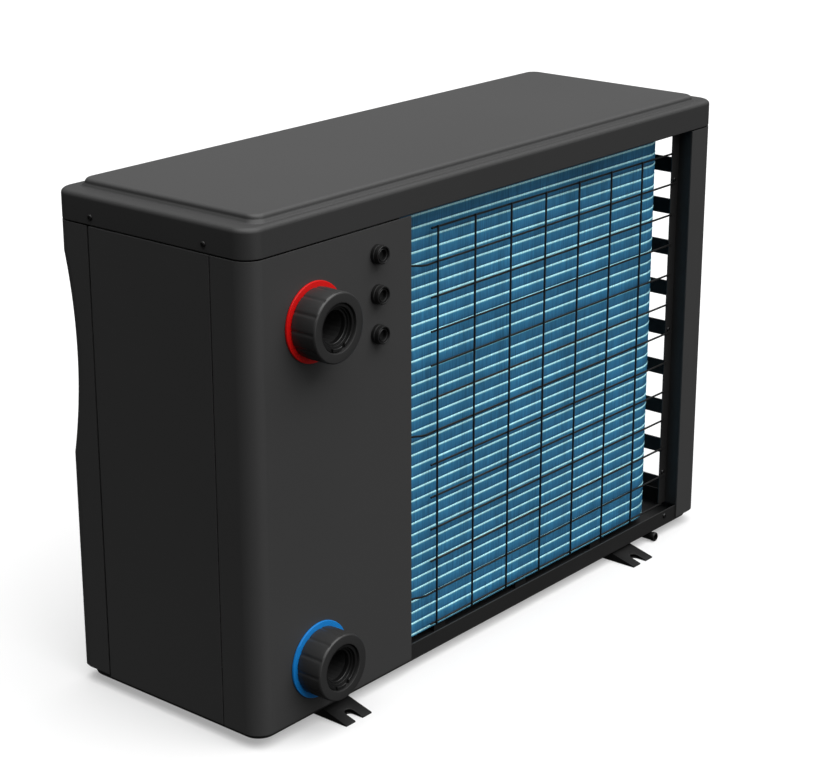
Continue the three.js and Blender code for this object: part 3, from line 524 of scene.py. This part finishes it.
def lid_screw(name, y):
    """A pan head with a cross recess, on the lid's skirt."""
    z = PANEL_TOP_Z + 11.2
    head = [(1.9, -6), (3.6, 0.3), (3.6, 1.1), (3.1, 1.9), (2.2, 2.3), (0.4, 2.4)]  # radius and how far out
    rings = []
    for radius, out in head:
        rings.append([(END_X + out, a, b) for a, b in circle(y, z, radius, 20)])
    reach, half_slot = 2, 0.45
    recess_from, recess_to = END_X + 1.2, END_X + 3
    cross = [block(recess_from, recess_to, y - reach, y + reach, z - half_slot, z + half_slot),
             block(recess_from, recess_to, y - half_slot, y + half_slot, z - reach, z + reach)]
    place(name + "_head", carve(loft(rings), *cross), "wire_coat", replaces=[name], sharp=40)


def scoop_at(z):
    """How far the front face stands back at height z."""
    middle = (SCOOP_LOW_Z + SCOOP_HIGH_Z) / 2
    half = (SCOOP_HIGH_Z - SCOOP_LOW_Z) / 2
    radius = (half ** 2 + SCOOP_DEPTH ** 2) / (2 * SCOOP_DEPTH)
    if abs(z - middle) >= half:
        return 0.0
    return math.sqrt(radius ** 2 - (z - middle) ** 2) - (radius - SCOOP_DEPTH)


def front_panel():
    """Wraps both front corners, which follow its shallow scoop. A flat collar stands round the fan."""
    edge_y = FRONT_SEAM_Y - 1.2
    outer = arc(END_X - CORNER, -BACK_Y + CORNER, CORNER, 0, -90, 12)
    outer += arc(-END_X + CORNER, -BACK_Y + CORNER, CORNER, -90, -180, 12)
    inner = arc(-END_X + CORNER, -BACK_Y + CORNER, CORNER - SHEET, -180, -90, 12)
    inner += arc(END_X - CORNER, -BACK_Y + CORNER, CORNER - SHEET, -90, 0, 12)
    outer = [(END_X, edge_y)] + outer + [(-END_X, edge_y)]
    inner = [(-END_X + SHEET, edge_y)] + inner + [(END_X - SHEET, edge_y)]
    heights = [PANEL_FOOT_Z + 2.5, 60, 200, SCOOP_LOW_Z - 0.5]
    heights += [SCOOP_LOW_Z + (SCOOP_HIGH_Z - SCOOP_LOW_Z) * k / 32 for k in range(33)]
    heights += [SCOOP_HIGH_Z + 0.5, SEAM_Z]
    bend_y = -BACK_Y + CORNER
    loops = []
    for z in heights:
        loop = []
        for x, y in outer + inner:
            share = min(1.0, max(0.0, (FRONT_SEAM_Y - y) / (FRONT_SEAM_Y - bend_y)))
            loop.append((x, y + share * scoop_at(z), z))
        loops.append(loop)

    face = -BACK_Y
    room = 0.5  # round the controller
    left, right = span("controller_housing", "x")
    bottom, top = span("controller_housing", "z")
    fan_hole = circle(FAN_X, FAN_Z, 257, 96)
    housing_hole = rounded_rect(left - room, right + room, bottom - room, top + room, 6)
    skin = carve(loft(loops), *[prism(hole, face - 5, face + 40, "y") for hole in (fan_hole, housing_hole)])
    collar_back = face + SCOOP_DEPTH + SHEET + 1
    collar = turned([
        (232, collar_back), (232, face + 3), (232.9, face + 0.9), (235, face),
        (260, face), (261.4, face + 0.6), (262, face + 2), (262, collar_back),
    ], FAN_X, FAN_Z, 128)
    place("front_pressing", merged(skin, collar), "panel_paint", replaces=["front_panel"], sharp=35)


def service_panel():
    """The flat end panel, with a lip under the lid."""
    side = (FRONT_SEAM_Y + 1.5, CORNER_SEAM_Y - 0.8)
    sheet = block(END_X - SHEET, END_X, *side, PANEL_FOOT_Z, SEAM_Z)
    lip = block(END_X - 14, END_X - SHEET - 0.1, *side, SEAM_Z - SHEET, SEAM_Z)
    place("service_sheet", merged(sheet, lip), "panel_paint", replaces=["service_panel"], edge=0.7)


def rear_corner_panel():
    """The corner with the unions' and the glands' holes."""
    y0 = CORNER_SEAM_Y + 0.8
    bend_x, bend_y = END_X - CORNER, BACK_Y - CORNER
    outline = [(END_X, y0)] + arc(bend_x, bend_y, CORNER, 0, 90, 20) + [(CORNER_PANEL_X, BACK_Y)]
    outline += [(CORNER_PANEL_X, BACK_Y - SHEET)] + arc(bend_x, bend_y, CORNER - SHEET, 90, 0, 20)
    outline += [(END_X - SHEET, y0)]
    port_radius, gland_radius = 36, 8.4
    rims = [circle(UNION_X, z, port_radius, 48) for z in (OUTLET_Z, INLET_Z)]
    rims += [circle(GLAND_X, z, gland_radius, 48) for z in GLAND_ZS]
    holes = [prism(rim, BACK_Y - 5, BACK_Y + 1, "y") for rim in rims]
    sheet = carve(prism(outline, PANEL_FOOT_Z, SEAM_Z), *holes)
    place("rear_corner_sheet", sheet, "panel_paint", replaces=["rear_corner_panel"], edge=0.7, sharp=40)


def coil_end_panel():
    """The far end with its air windows and the corner post, and behind the post the flange for the guard."""
    y0 = FRONT_SEAM_Y + 0.2
    bend_x, bend_y = -END_X + CORNER, BACK_Y - CORNER
    outline = [(POST_X, BACK_Y)] + arc(bend_x, bend_y, CORNER, 90, 180, 20) + [(-END_X, y0)]
    outline += [(-END_X + SHEET, y0)] + arc(bend_x, bend_y, CORNER - SHEET, 180, 90, 20)
    outline += [(POST_X, BACK_Y - SHEET)]
    first_z, pitch, height = PAN_FOOT_Z + 37.3, 63, 40
    windows = []
    for k in range(9):
        z = first_z + pitch * k
        window = rounded_rect(BACK_Y - 250, BACK_Y - 50, z, z + height, 3, 4)
        windows.append(prism(window, -END_X - 1, -END_X + 10, "x"))
    sheet = carve(prism(outline, PANEL_FOOT_Z, SEAM_Z), *windows)
    place("coil_end_sheet", sheet, "panel_paint", replaces=["coil_end_panel"], edge=0.6, sharp=40)

    flange = [(POST_X, BACK_Y - SHEET - 0.1), (POST_X - SHEET, BACK_Y - SHEET - 0.1),
              (POST_X - SHEET, FLANGE_Y - SHEET), (FLANGE_EDGE_X, FLANGE_Y - SHEET),
              (FLANGE_EDGE_X, FLANGE_Y), (POST_X, FLANGE_Y)]
    place("post_flange", prism(flange, PAN_TOP_Z + HAIR, SEAM_Z), "dark_paint", edge=0.5)


def base_pan():
    """The pressed tray, with ribs that carry the coil."""
    x0, x1 = span("base_pan", "x")
    y0, y1 = span("base_pan", "y")
    corner = CORNER - 2.4
    bend = 3
    rim = 0.4  # the small chamfer along the tray's rim
    profile = [(SHEET, PAN_FOOT_Z + SHEET), (SHEET, PAN_TOP_Z - rim), (SHEET - rim, PAN_TOP_Z),
               (rim, PAN_TOP_Z), (0, PAN_TOP_Z - rim)]
    for t in range(0, 91, 18):
        angle = math.radians(t)
        profile.append((bend * (1 - math.cos(angle)), PAN_FOOT_Z + bend * (1 - math.sin(angle))))
    loops = []
    for inset, z in profile:
        outline = rounded_rect(x0 + inset, x1 - inset, y0 + inset, y1 - inset, corner - inset)
        loops.append([(x, y, z) for x, y in outline])
    tray = loft(loops)
    rib_half, rib_y = 12, (100, 128)
    ribs = [block(x - rib_half, x + rib_half, *rib_y, PAN_FOOT_Z + 1, COIL_LOW_Z - HAIR)
            for x in (-260, -80, 100)]
    place("pan_pressing", merged(tray, *ribs), "dark_paint", replaces=["base_pan"], sharp=40)


def foot_rail(name):
    """A channel whose top plate slopes down to a slotted tip at each end."""
    middle = middle_of(name, "x")
    half = (high(name).x - low(name).x) / 2
    tip, top = span(name, "y")[1], high(name).z
    knee = BACK_Y - 12
    outer = [(-tip, 0), (tip, 0), (tip, SHEET), (knee, top), (-knee, top), (-tip, SHEET)]
    inner_tip = tip - SHEET * (tip - knee) / (top - SHEET)
    inner = [(-inner_tip, SHEET), (inner_tip, SHEET), (knee, top - SHEET), (-knee, top - SHEET)]
    cutters = [prism(inner, middle - half + SHEET, middle + half - SHEET, "x"),
               block(middle - half + 10, middle + half - 10, -knee, knee, -1, SHEET + 1)]
    slot_half, slot_depth = 6.75, 15.25
    for end in (-1, 1):
        deep, mouth = end * (tip - slot_depth), end * (tip + 2)
        cutters.append(prism(circle(middle, deep, slot_half, 24), -1, 20))
        slot_y = (min(deep, mouth), max(deep, mouth))
        cutters.append(block(middle - slot_half, middle + slot_half, *slot_y, -1, 20))
    rail = carve(prism(outer, middle - half, middle + half, "x"), *cutters)
    place(name + "_channel", rail, "dark_paint", replaces=[name], edge=0.5, look="deep_black")


def flange_screws():
    """Screws on the post's flange, just over the guard's long wires, and one in the pan's back wall."""
    flange_middle = (POST_X + FLANGE_EDGE_X) / 2 + 1
    spots = [(flange_middle, FLANGE_Y, GUARD_TOP_Z - GUARD_STEP_Z * row + 5) for row in LONG_ROWS]
    spots.append((POST_X + 30, span("base_pan", "y")[1], PAN_TOP_Z - 8))
    reach, half_slot = 2, 0.4
    for k, (x, y, z) in enumerate(spots):
        profile = [(0.3, y - 1), (3.8, y - 1), (3.8, y + 0.9), (3.0, y + 1.9), (0.3, y + 2.3)]
        head = turned(profile, x, z, 18)
        cross = [block(x - reach, x + reach, y + 1.1, y + 3, z - half_slot, z + half_slot),
                 block(x - half_slot, x + half_slot, y + 1.1, y + 3, z - reach, z + reach)]
        place(f"flange_screw_{k + 1}", carve(head, *cross), "wire_coat", sharp=40)


# ---------------------------------------------------------------- coil, guard and grille


def coil_route(step, inset):
    """Points round the L of the coil, inset from its outer face, each with its outward direction."""
    bend_x, bend_y = COIL_END_X + COIL_BEND, COIL_BACK_Y - COIL_BEND
    straight = COIL_START_X - bend_x
    count = round(straight / step)
    points = [(COIL_START_X - straight * k / count, COIL_BACK_Y, 0, 1) for k in range(count)]
    turns = max(6, round(COIL_BEND * math.pi / 2 / step))
    for k in range(turns):
        angle = math.radians(90 + 90 * k / turns)
        points.append((bend_x + COIL_BEND * math.cos(angle), bend_y + COIL_BEND * math.sin(angle),
                       math.cos(angle), math.sin(angle)))
    run = bend_y - COIL_FRONT_Y
    count = round(run / step)
    points += [(COIL_END_X, bend_y - run * k / count, -1, 0) for k in range(count + 1)]
    return [(x - nx * inset, y - ny * inset, nx, ny) for x, y, nx, ny in points]


def coil():
    """Upright fins with a raised crease at each step of their corrugation."""
    outer = coil_route(2.0, 0.9)
    inner = coil_route(9.0, COIL_THICKNESS)
    # One step of the corrugation: the share of the pitch, and how far the fins stand out there.
    crease = [(0.0, -0.1), (0.10, -0.1), (0.40, 0.0), (0.82, 0.05), (0.88, 0.30), (0.94, 0.40), (0.98, 0.20)]
    fin_depth = 0.5  # every other point stands back, so each fin shows as an upright ridge
    levels = []
    foot = CREASE_FOOT - CREASE_PITCH
    for k in range(40):
        for share, out in crease:
            z = foot + (k + share) * CREASE_PITCH
            if COIL_LOW_Z + 0.5 < z < COIL_HIGH_Z - 0.5:
                levels.append((z, out))
    levels = [(COIL_LOW_Z, 0.0)] + levels + [(COIL_HIGH_Z, 0.0)]
    loops = []
    for z, out in levels:
        loop = []
        for k, (x, y, nx, ny) in enumerate(outer):
            proud = out - (fin_depth if k % 2 else 0.0)
            loop.append((x + nx * proud, y + ny * proud, z))
        loop += [(x, y, z) for x, y, nx, ny in reversed(inner)]
        loops.append(loop)
    place("coil_fins", loft(loops), "fin_stock", replaces=["evaporator_coil"], sharp=60)


def coil_guard():
    """Welded round wires. The long rows kink up to the panel, and run on to the flange's screws."""
    wires = []
    for column in range(GUARD_COLUMNS):
        x = GUARD_FIRST_X - column * GUARD_STEP_X
        heights = (GUARD_LOW_Z + 0.2, GUARD_TOP_Z - 250, GUARD_HIGH_Z - 0.2)
        wires.append(tube([(x, GUARD_Y + 3 * WIRE, z) for z in heights], WIRE, 12))
    kink = [(8, 3.6), (0, 4.4), (-9, 5.2), (-20, 5.4), (-31, 3.6), (-43, 0.8), (-54, -0.4), (-68, 0)]
    y = GUARD_Y + WIRE
    for row in range(GUARD_ROWS):
        z = GUARD_TOP_Z - row * GUARD_STEP_Z
        if row in LONG_ROWS:
            points = [(CORNER_PANEL_X + along, y, z + up) for along, up in kink]
            points += [(-200, y, z), (POST_X + 16, y, z + 0.4), (POST_X + 7, y, z + 2.2)]
        else:
            points = [(GUARD_FIRST_X + 9, y, z), (0, y, z), (FLANGE_EDGE_X - 3, y, z)]
        wires.append(tube(points, WIRE, 12))
    place("coil_guard_wires", merged(*wires), "wire_coat", replaces=["coil_guard"], sharp=50)


def fan_grille():
    """Rings of wire on ribs, with a plain disc in the middle and a rim that sits on the collar."""
    front = span("fan_grille", "y")[0]
    inner_radius, outer_radius = 60, 246
    count, ribs = 17, 8

    def dish(radius):
        return 2.0 * (radius / outer_radius) ** 3

    parts = []
    for k in range(count):
        radius = inner_radius + (outer_radius - inner_radius) * k / (count - 1)
        parts.append(turned(circle(radius, front + 3.2 + dish(radius), 1.5, 8), FAN_X, FAN_Z, 96))
    for k in range(ribs):
        angle = math.radians(22.5 + 45 * k)
        points = [(FAN_X + r * math.cos(angle), front + 1.7 + dish(r), FAN_Z + r * math.sin(angle))
                  for r in (40, 110, 170, 215, 252)]
        parts.append(tube(points, 1.6, 8))
    parts.append(turned([
        (0.5, front + 0.2), (44, front + 0.2), (48, front + 1.2), (50, front + 3.0), (50, front + 5.0),
        (46, front + 4.6), (0.5, front + 4.6),
    ], FAN_X, FAN_Z, 64))
    rim_back = -BACK_Y - HAIR
    parts.append(turned([
        (247, front + 3), (249, front + 1.4), (255, front + 1.4), (257.6, front + 3.5),
        (258, rim_back), (247, rim_back),
    ], FAN_X, FAN_Z, 128))
    place("fan_grille_wires", merged(*parts), "wire_coat", replaces=["fan_grille"], sharp=50)


def bell_mouth():
    """The ring that leads the air into the fan: a flare in front and a short throat behind."""
    throat, flare_out, flare_deep = 222, 10, 14
    y = -BACK_Y + SCOOP_DEPTH + SHEET + 1.4
    flare = [(throat + flare_out * (1 - math.sin(t)), y + flare_deep * (1 - math.cos(t)))
             for t in (math.radians(degrees) for degrees in range(0, 91, 15))]
    profile = flare + [(throat, y + 48), (throat + 2.5, y + 48), (throat + 2.5, y + 16),
                       (throat + 12, y + 2.2), (throat + 28, y + 2), (throat + 28, y)]
    ring = turned(profile, FAN_X, FAN_Z, 128)
    place("bell_mouth_ring", ring, "black_plastic", replaces=["bell_mouth"], sharp=50)


def fan_wheel():
    """Three twisted blades, thick at the leading edge, on a domed hub."""
    front, back = -138, -70
    hub = turned([
        (5.5, front), (38, front), (46, front + 3), (50, front + 9), (50, back), (46, back),
        (46, front + 12), (12, front + 12), (12, back), (5.5, back),
    ], FAN_X, FAN_Z, 72)
    parts = [hub]
    middle = (front + back) / 2
    rows, columns, blades = 14, 12, 3
    root, tip = 46, 212
    grow_from = 40  # the blade's chord and twist run from this radius
    for k in range(blades):
        loops = []
        for j in range(rows + 1):
            radius = root + (tip - root) * j / rows
            along = (root - grow_from + (tip - root) * j / rows) / (tip - grow_from)
            chord = 96 + 62 * along - 10 * max(0, along - 0.85) / 0.15
            pitch = math.radians(38 - 18 * along)
            sweep = 24 * along ** 2
            loop = []
            for side, order in ((-1, range(columns + 1)), (1, range(columns, -1, -1))):
                for i in order:
                    across = i / columns - 0.5
                    arch = 0.25 - across ** 2
                    thick = side * (0.6 + 1.9 * math.sqrt(max(0.0, arch)) * (1.4 + across))
                    lift = thick - 5 * arch
                    sideways = chord * across * math.cos(pitch) - lift * math.sin(pitch) + sweep
                    axial = chord * across * math.sin(pitch) + lift * math.cos(pitch)
                    angle = sideways / max(radius, 70) + k * math.radians(360 / blades)
                    x, z = FAN_X + radius * math.cos(angle), FAN_Z - radius * math.sin(angle)
                    loop.append((x, middle + axial, z))
            loops.append(loop)
        parts.append(loft(loops))
    place("fan_wheel_moulding", merged(*parts), "grey_plastic", "fan", replaces=["fan_wheel"], sharp=50)


# ---------------------------------------------------------------- unions, glands, drain


def union(side, z, colour):
    """A nut with grip grooves, the pipe tail inside it, and the coloured ring on the panel."""
    nut_back, face = span(side + "_union_nut", "y")
    grooves, groove_depth = 12, 0.9

    def grip(angle, radius, y):
        if radius < 42.5 or y > face - 3:
            return 0.0
        return -groove_depth * max(0.0, math.cos(grooves * angle)) ** 6

    nut = turned([
        (36, nut_back), (42.6, nut_back), (43, nut_back + 0.6), (43, face - 7), (43, face - 3.2),
        (42.7, face - 1.6), (41.8, face - 0.5), (40.6, face), (31.2, face), (30.3, face - 0.4),
        (30, face - 1.2), (30, face - 8), (36, face - 8),
    ], UNION_X, z, 240, grip)
    place(side + "_nut_moulding", nut, "black_plastic", side + "_nut",
          replaces=[side + "_union_nut"], sharp=40)

    tail_back, end = span(side + "_union_tail", "y")
    tail = turned([
        (20, tail_back), (35, tail_back), (35, face - 8.8), (29.2, face - 8.8), (29.2, end - 0.5),
        (28.7, end), (25.6, end), (25.2, end - 0.4), (25.2, end - 3.5), (23.2, end - 3.5),
        (22.8, end - 4), (22.8, end - 6), (20.5, end - 6), (20, end - 6.5),
    ], UNION_X, z, 96)
    wall_radius, notch_half = 27.5, 2.6
    notches = []
    for degrees in (-112, -68):
        angle = math.radians(degrees)
        x, up = UNION_X + wall_radius * math.cos(angle), z + wall_radius * math.sin(angle)
        notches.append(block(x - notch_half, x + notch_half, end - notch_half, end + 1, up - 4, up + 4))
    place(side + "_tail_moulding", carve(tail, *notches), "black_plastic", side + "_tail",
          replaces=[side + "_union_tail"], sharp=40, look="deep_black")

    ring_back, ring_face = span(side + "_ring", "y")
    ring = turned([
        (37, ring_back), (49.2, ring_back), (49.5, ring_back + 0.4), (49.5, ring_face - 0.9),
        (49.1, ring_face - 0.2), (48.4, ring_face), (37, ring_face),
    ], UNION_X, z, 128)
    place(side + "_colour_ring", ring, colour, replaces=[side + "_ring"], sharp=40)


def cable_gland(number, z):
    """A gland with its clamping nut, and the bung that closes it while no cable is in it."""
    y = BACK_Y
    gland = turned([
        (4.5, y - 12), (7.8, y - 12), (7.8, y + 0.4), (12.3, y + 0.4), (12.3, y + 4.6), (11.5, y + 5.0),
        (11.5, y + 9.9), (11.1, y + 10.8), (10.5, y + 11), (9.7, y + 10.9), (9.3, y + 10.4),
        (9.1, y + 8.4), (7.9, y + 8.2), (7.7, y + 9.3), (7.2, y + 9.7), (6.6, y + 9.4), (6.3, y + 8.6),
        (6.1, y + 4.0), (4.5, y + 3.6),
    ], GLAND_X, z, 48)
    bung = turned([(0.3, y + 2.8), (5.9, y + 2.8), (5.9, y + 5.0), (0.3, y + 5.2)], GLAND_X, z, 24)
    place(f"gland_body_{number}", gland, "black_plastic", replaces=[f"cable_gland_{number}"], sharp=40,
          look="deep_black")
    place(f"gland_bung_{number}", bung, "rubber", sharp=40, look="deep_black")


def drain_spigot():
    """An elbow out of the pan's underside to a beaded mouth at the back."""
    pipe_radius, bore_radius, bend = 6.1, 4.2, 6
    x, start_y, mouth = middle_of("drain_spigot", "x"), BACK_Y - 38, BACK_Y
    z = low("drain_spigot").z + 6.2
    path = [(x, start_y, PAN_FOOT_Z - HAIR), (x, start_y, z + bend)]
    for degrees in (30, 60, 90):
        t = math.radians(degrees)
        path.append((x, start_y + bend - bend * math.cos(t), z + bend - bend * math.sin(t)))
    path += [(x, mouth - 6, z), (x, mouth + 2.6, z)]
    bore = turned([(0.01, mouth - 9), (bore_radius, mouth - 9), (bore_radius, mouth + 9), (0.01, mouth + 9)],
                  x, z, 24)
    bead = turned([
        (bore_radius, mouth - 4), (6.0, mouth - 4), (6.8, mouth - 2.6), (6.9, mouth), (6.7, mouth + 2),
        (6.2, mouth + 2.8), (bore_radius, mouth + 2.8),
    ], x, z, 32)
    elbow = merged(carve(tube(path, pipe_radius, 28), bore), bead)
    place("drain_elbow", elbow, "black_plastic", replaces=["drain_spigot"], sharp=45, look="deep_black")


# ---------------------------------------------------------------- controller


def controller():
    """The housing at the front, with its lens and four keys."""
    left, right = span("controller_housing", "x")
    face, back = span("controller_housing", "y")
    bottom, top = span("controller_housing", "z")
    lens_x, lens_y, lens_z = [span("display_lens", axis) for axis in "xyz"]
    wall, room = 3, 0.4
    hole_through = (face - 1, face + 4)
    lens_hole = rounded_rect(lens_x[0] - room, lens_x[1] + room, lens_z[0] - room, lens_z[1] + room, 2.4, 5)
    cutters = [block(left + wall, right - wall, face + wall, back + 1, bottom + wall, top - wall),
               prism(lens_hole, *hole_through, "y")]
    keys = range(1, 5)
    rim_inset = 1  # the key's rim is this much wider than the hole it shows through
    for key in keys:
        (x0, x1), (z0, z1) = span(f"button_{key}", "x"), span(f"button_{key}", "z")
        key_hole = rounded_rect(x0 + rim_inset, x1 - rim_inset, z0 + rim_inset, z1 - rim_inset, 2.6, 5)
        cutters.append(prism(key_hole, *hole_through, "y"))
    body = prism(rounded_rect(left, right, bottom, top, 6, 8), face, back, "y")
    place("controller_shell", carve(body, *cutters), "black_plastic", replaces=["controller_housing"],
          edge=0.9, edge_steps=3)

    lens = prism(rounded_rect(*lens_x, *lens_z, 2, 5), *lens_y, "y")
    place("controller_lens", lens, "lens", replaces=["display_lens"], edge=0.5)

    cap_half, rim_depth = 6, 1.6
    for key in keys:
        node = f"button_{key}"
        x, z = middle_of(node, "x"), middle_of(node, "z")
        front, rear = span(node, "y")
        cap_outline = rounded_rect(x - cap_half, x + cap_half, z - cap_half, z + cap_half, 2.2, 6)
        cap = prism(cap_outline, front, rear - rim_depth, "y")
        rim_outline = rounded_rect(*span(node, "x"), *span(node, "z"), 1.4, 4)
        rim = prism(rim_outline, rear - rim_depth, rear, "y")
        place(f"key_cap_{key}", merged(cap, rim), "grey_plastic", f"key_{key}", replaces=[node], edge=0.6)


# ---------------------------------------------------------------- the object

lid()
for screw_name in ("lid_screw_1", "lid_screw_2"):
    lid_screw(screw_name, middle_of(screw_name, "y"))
front_panel()
service_panel()
rear_corner_panel()
coil_end_panel()
base_pan()
foot_rail("foot_rail_right")
foot_rail("foot_rail_left")
flange_screws()
coil()
coil_guard()
fan_grille()
bell_mouth()
fan_wheel()
union("outlet", OUTLET_Z, "red_plastic")
union("inlet", INLET_Z, "blue_plastic")
for gland_number, gland_z in enumerate(GLAND_ZS, 1):
    cable_gland(gland_number, gland_z)
drain_spigot()
controller()

# The pieces that stay as the CAD has them take the same materials.
for part in frame["record"]["subparts"]:
    node = frame["nodes"][part["node"]]
    node.data.materials.clear()
    node.data.materials.append(MATERIALS[part["material_slot"]])

# ---------------------------------------------------------------- stage, light and camera

FLOOR_HALF = 30.0
FLOOR_GLOW = 0.34
FILL = 0.07  # the world's light on matt surfaces
REFLECTED = 0.36  # what glossy surfaces mirror from high up
BACKDROP = 1.2  # what the camera sees behind the object
# Each light's name, strength, width in degrees and the direction it comes from.
LIGHTS = [
    ("overhead", 5.1, 84, (-0.03, 0.25, 1.0)),
    ("from_behind", 1.1, 70, (-0.12, 1.0, 0.28)),
]
CAMERA_AT = (2.1063, 1.7513, 1.2525)
CAMERA_AZIMUTH, CAMERA_ELEVATION = 129.817, 18.870
CAMERA_LENS = 92.24
WHITE = (1, 1, 1, 1)


def white_floor():
    """A white floor that catches the shadow and lights nothing."""
    mesh = bmesh.new()
    corners = [(-1, -1), (1, -1), (1, 1), (-1, 1)]
    mesh.faces.new([mesh.verts.new((FLOOR_HALF * x, FLOOR_HALF * y, 0)) for x, y in corners])
    floor = raw_object("floor", mesh)
    white = surface("floor_white", grey(0.50), grey(0.50), 1.0, specular=0.0, spread=0.0, depth=0.0)
    shader = white.node_tree.nodes["Principled BSDF"]
    shader.inputs["Emission Color"].default_value = WHITE
    shader.inputs["Emission Strength"].default_value = FLOOR_GLOW
    floor.data.materials.append(white)
    floor.visible_diffuse = False
    floor.visible_glossy = False


def studio_world():
    """A dim fill for matt surfaces, a glow from above for glossy ones, and a backdrop for the camera."""
    world = bpy.data.worlds.new("studio")
    bpy.context.scene.world = world
    world.use_nodes = True
    tree = world.node_tree
    fill = tree.nodes["Background"]
    fill.inputs["Color"].default_value = WHITE
    fill.inputs["Strength"].default_value = FILL
    rays = tree.nodes.new("ShaderNodeLightPath")
    previous = fill.outputs[0]
    for kind, strength in (("Is Glossy Ray", REFLECTED), ("Is Camera Ray", BACKDROP)):
        shade = tree.nodes.new("ShaderNodeBackground")
        shade.inputs["Strength"].default_value = strength
        shade.inputs["Color"].default_value = WHITE
        if kind == "Is Glossy Ray":
            where = tree.nodes.new("ShaderNodeTexCoord").outputs["Generated"]
            above = to_range(tree, height_on(tree, where), 0.03, strength, 0.02, 0.30)
            tree.links.new(above, shade.inputs["Strength"])
        mix = tree.nodes.new("ShaderNodeMixShader")
        tree.links.new(rays.outputs[kind], mix.inputs["Fac"])
        tree.links.new(previous, mix.inputs[1])
        tree.links.new(shade.outputs[0], mix.inputs[2])
        previous = mix.outputs[0]
    tree.links.new(previous, tree.nodes["World Output"].inputs["Surface"])


def lights():
    """Two wide suns."""
    for name, strength, width, source in LIGHTS:
        sun = bpy.data.objects.new(name, bpy.data.lights.new(name, "SUN"))
        sun.data.energy = strength
        sun.data.angle = math.radians(width)
        sun.rotation_euler = Vector(source).to_track_quat("Z", "Y").to_euler()
        bpy.context.scene.collection.objects.link(sun)


def camera():
    """The photograph's camera. Azimuth is from -Y towards +X."""
    azimuth, elevation = math.radians(CAMERA_AZIMUTH), math.radians(CAMERA_ELEVATION)
    back = Vector((math.sin(azimuth) * math.cos(elevation), -math.cos(azimuth) * math.cos(elevation),
                   math.sin(elevation)))
    view = bpy.data.objects.new("camera", bpy.data.cameras.new("camera"))
    view.location = CAMERA_AT
    view.rotation_mode = "QUATERNION"
    view.rotation_quaternion = (-back).to_track_quat("-Z", "Y")
    view.data.sensor_width = 36
    view.data.lens = CAMERA_LENS
    view.data.clip_end = 100
    bpy.context.scene.collection.objects.link(view)
    bpy.context.scene.camera = view


white_floor()
studio_world()
lights()
camera()
bpy.context.scene.view_settings.view_transform = "Standard"
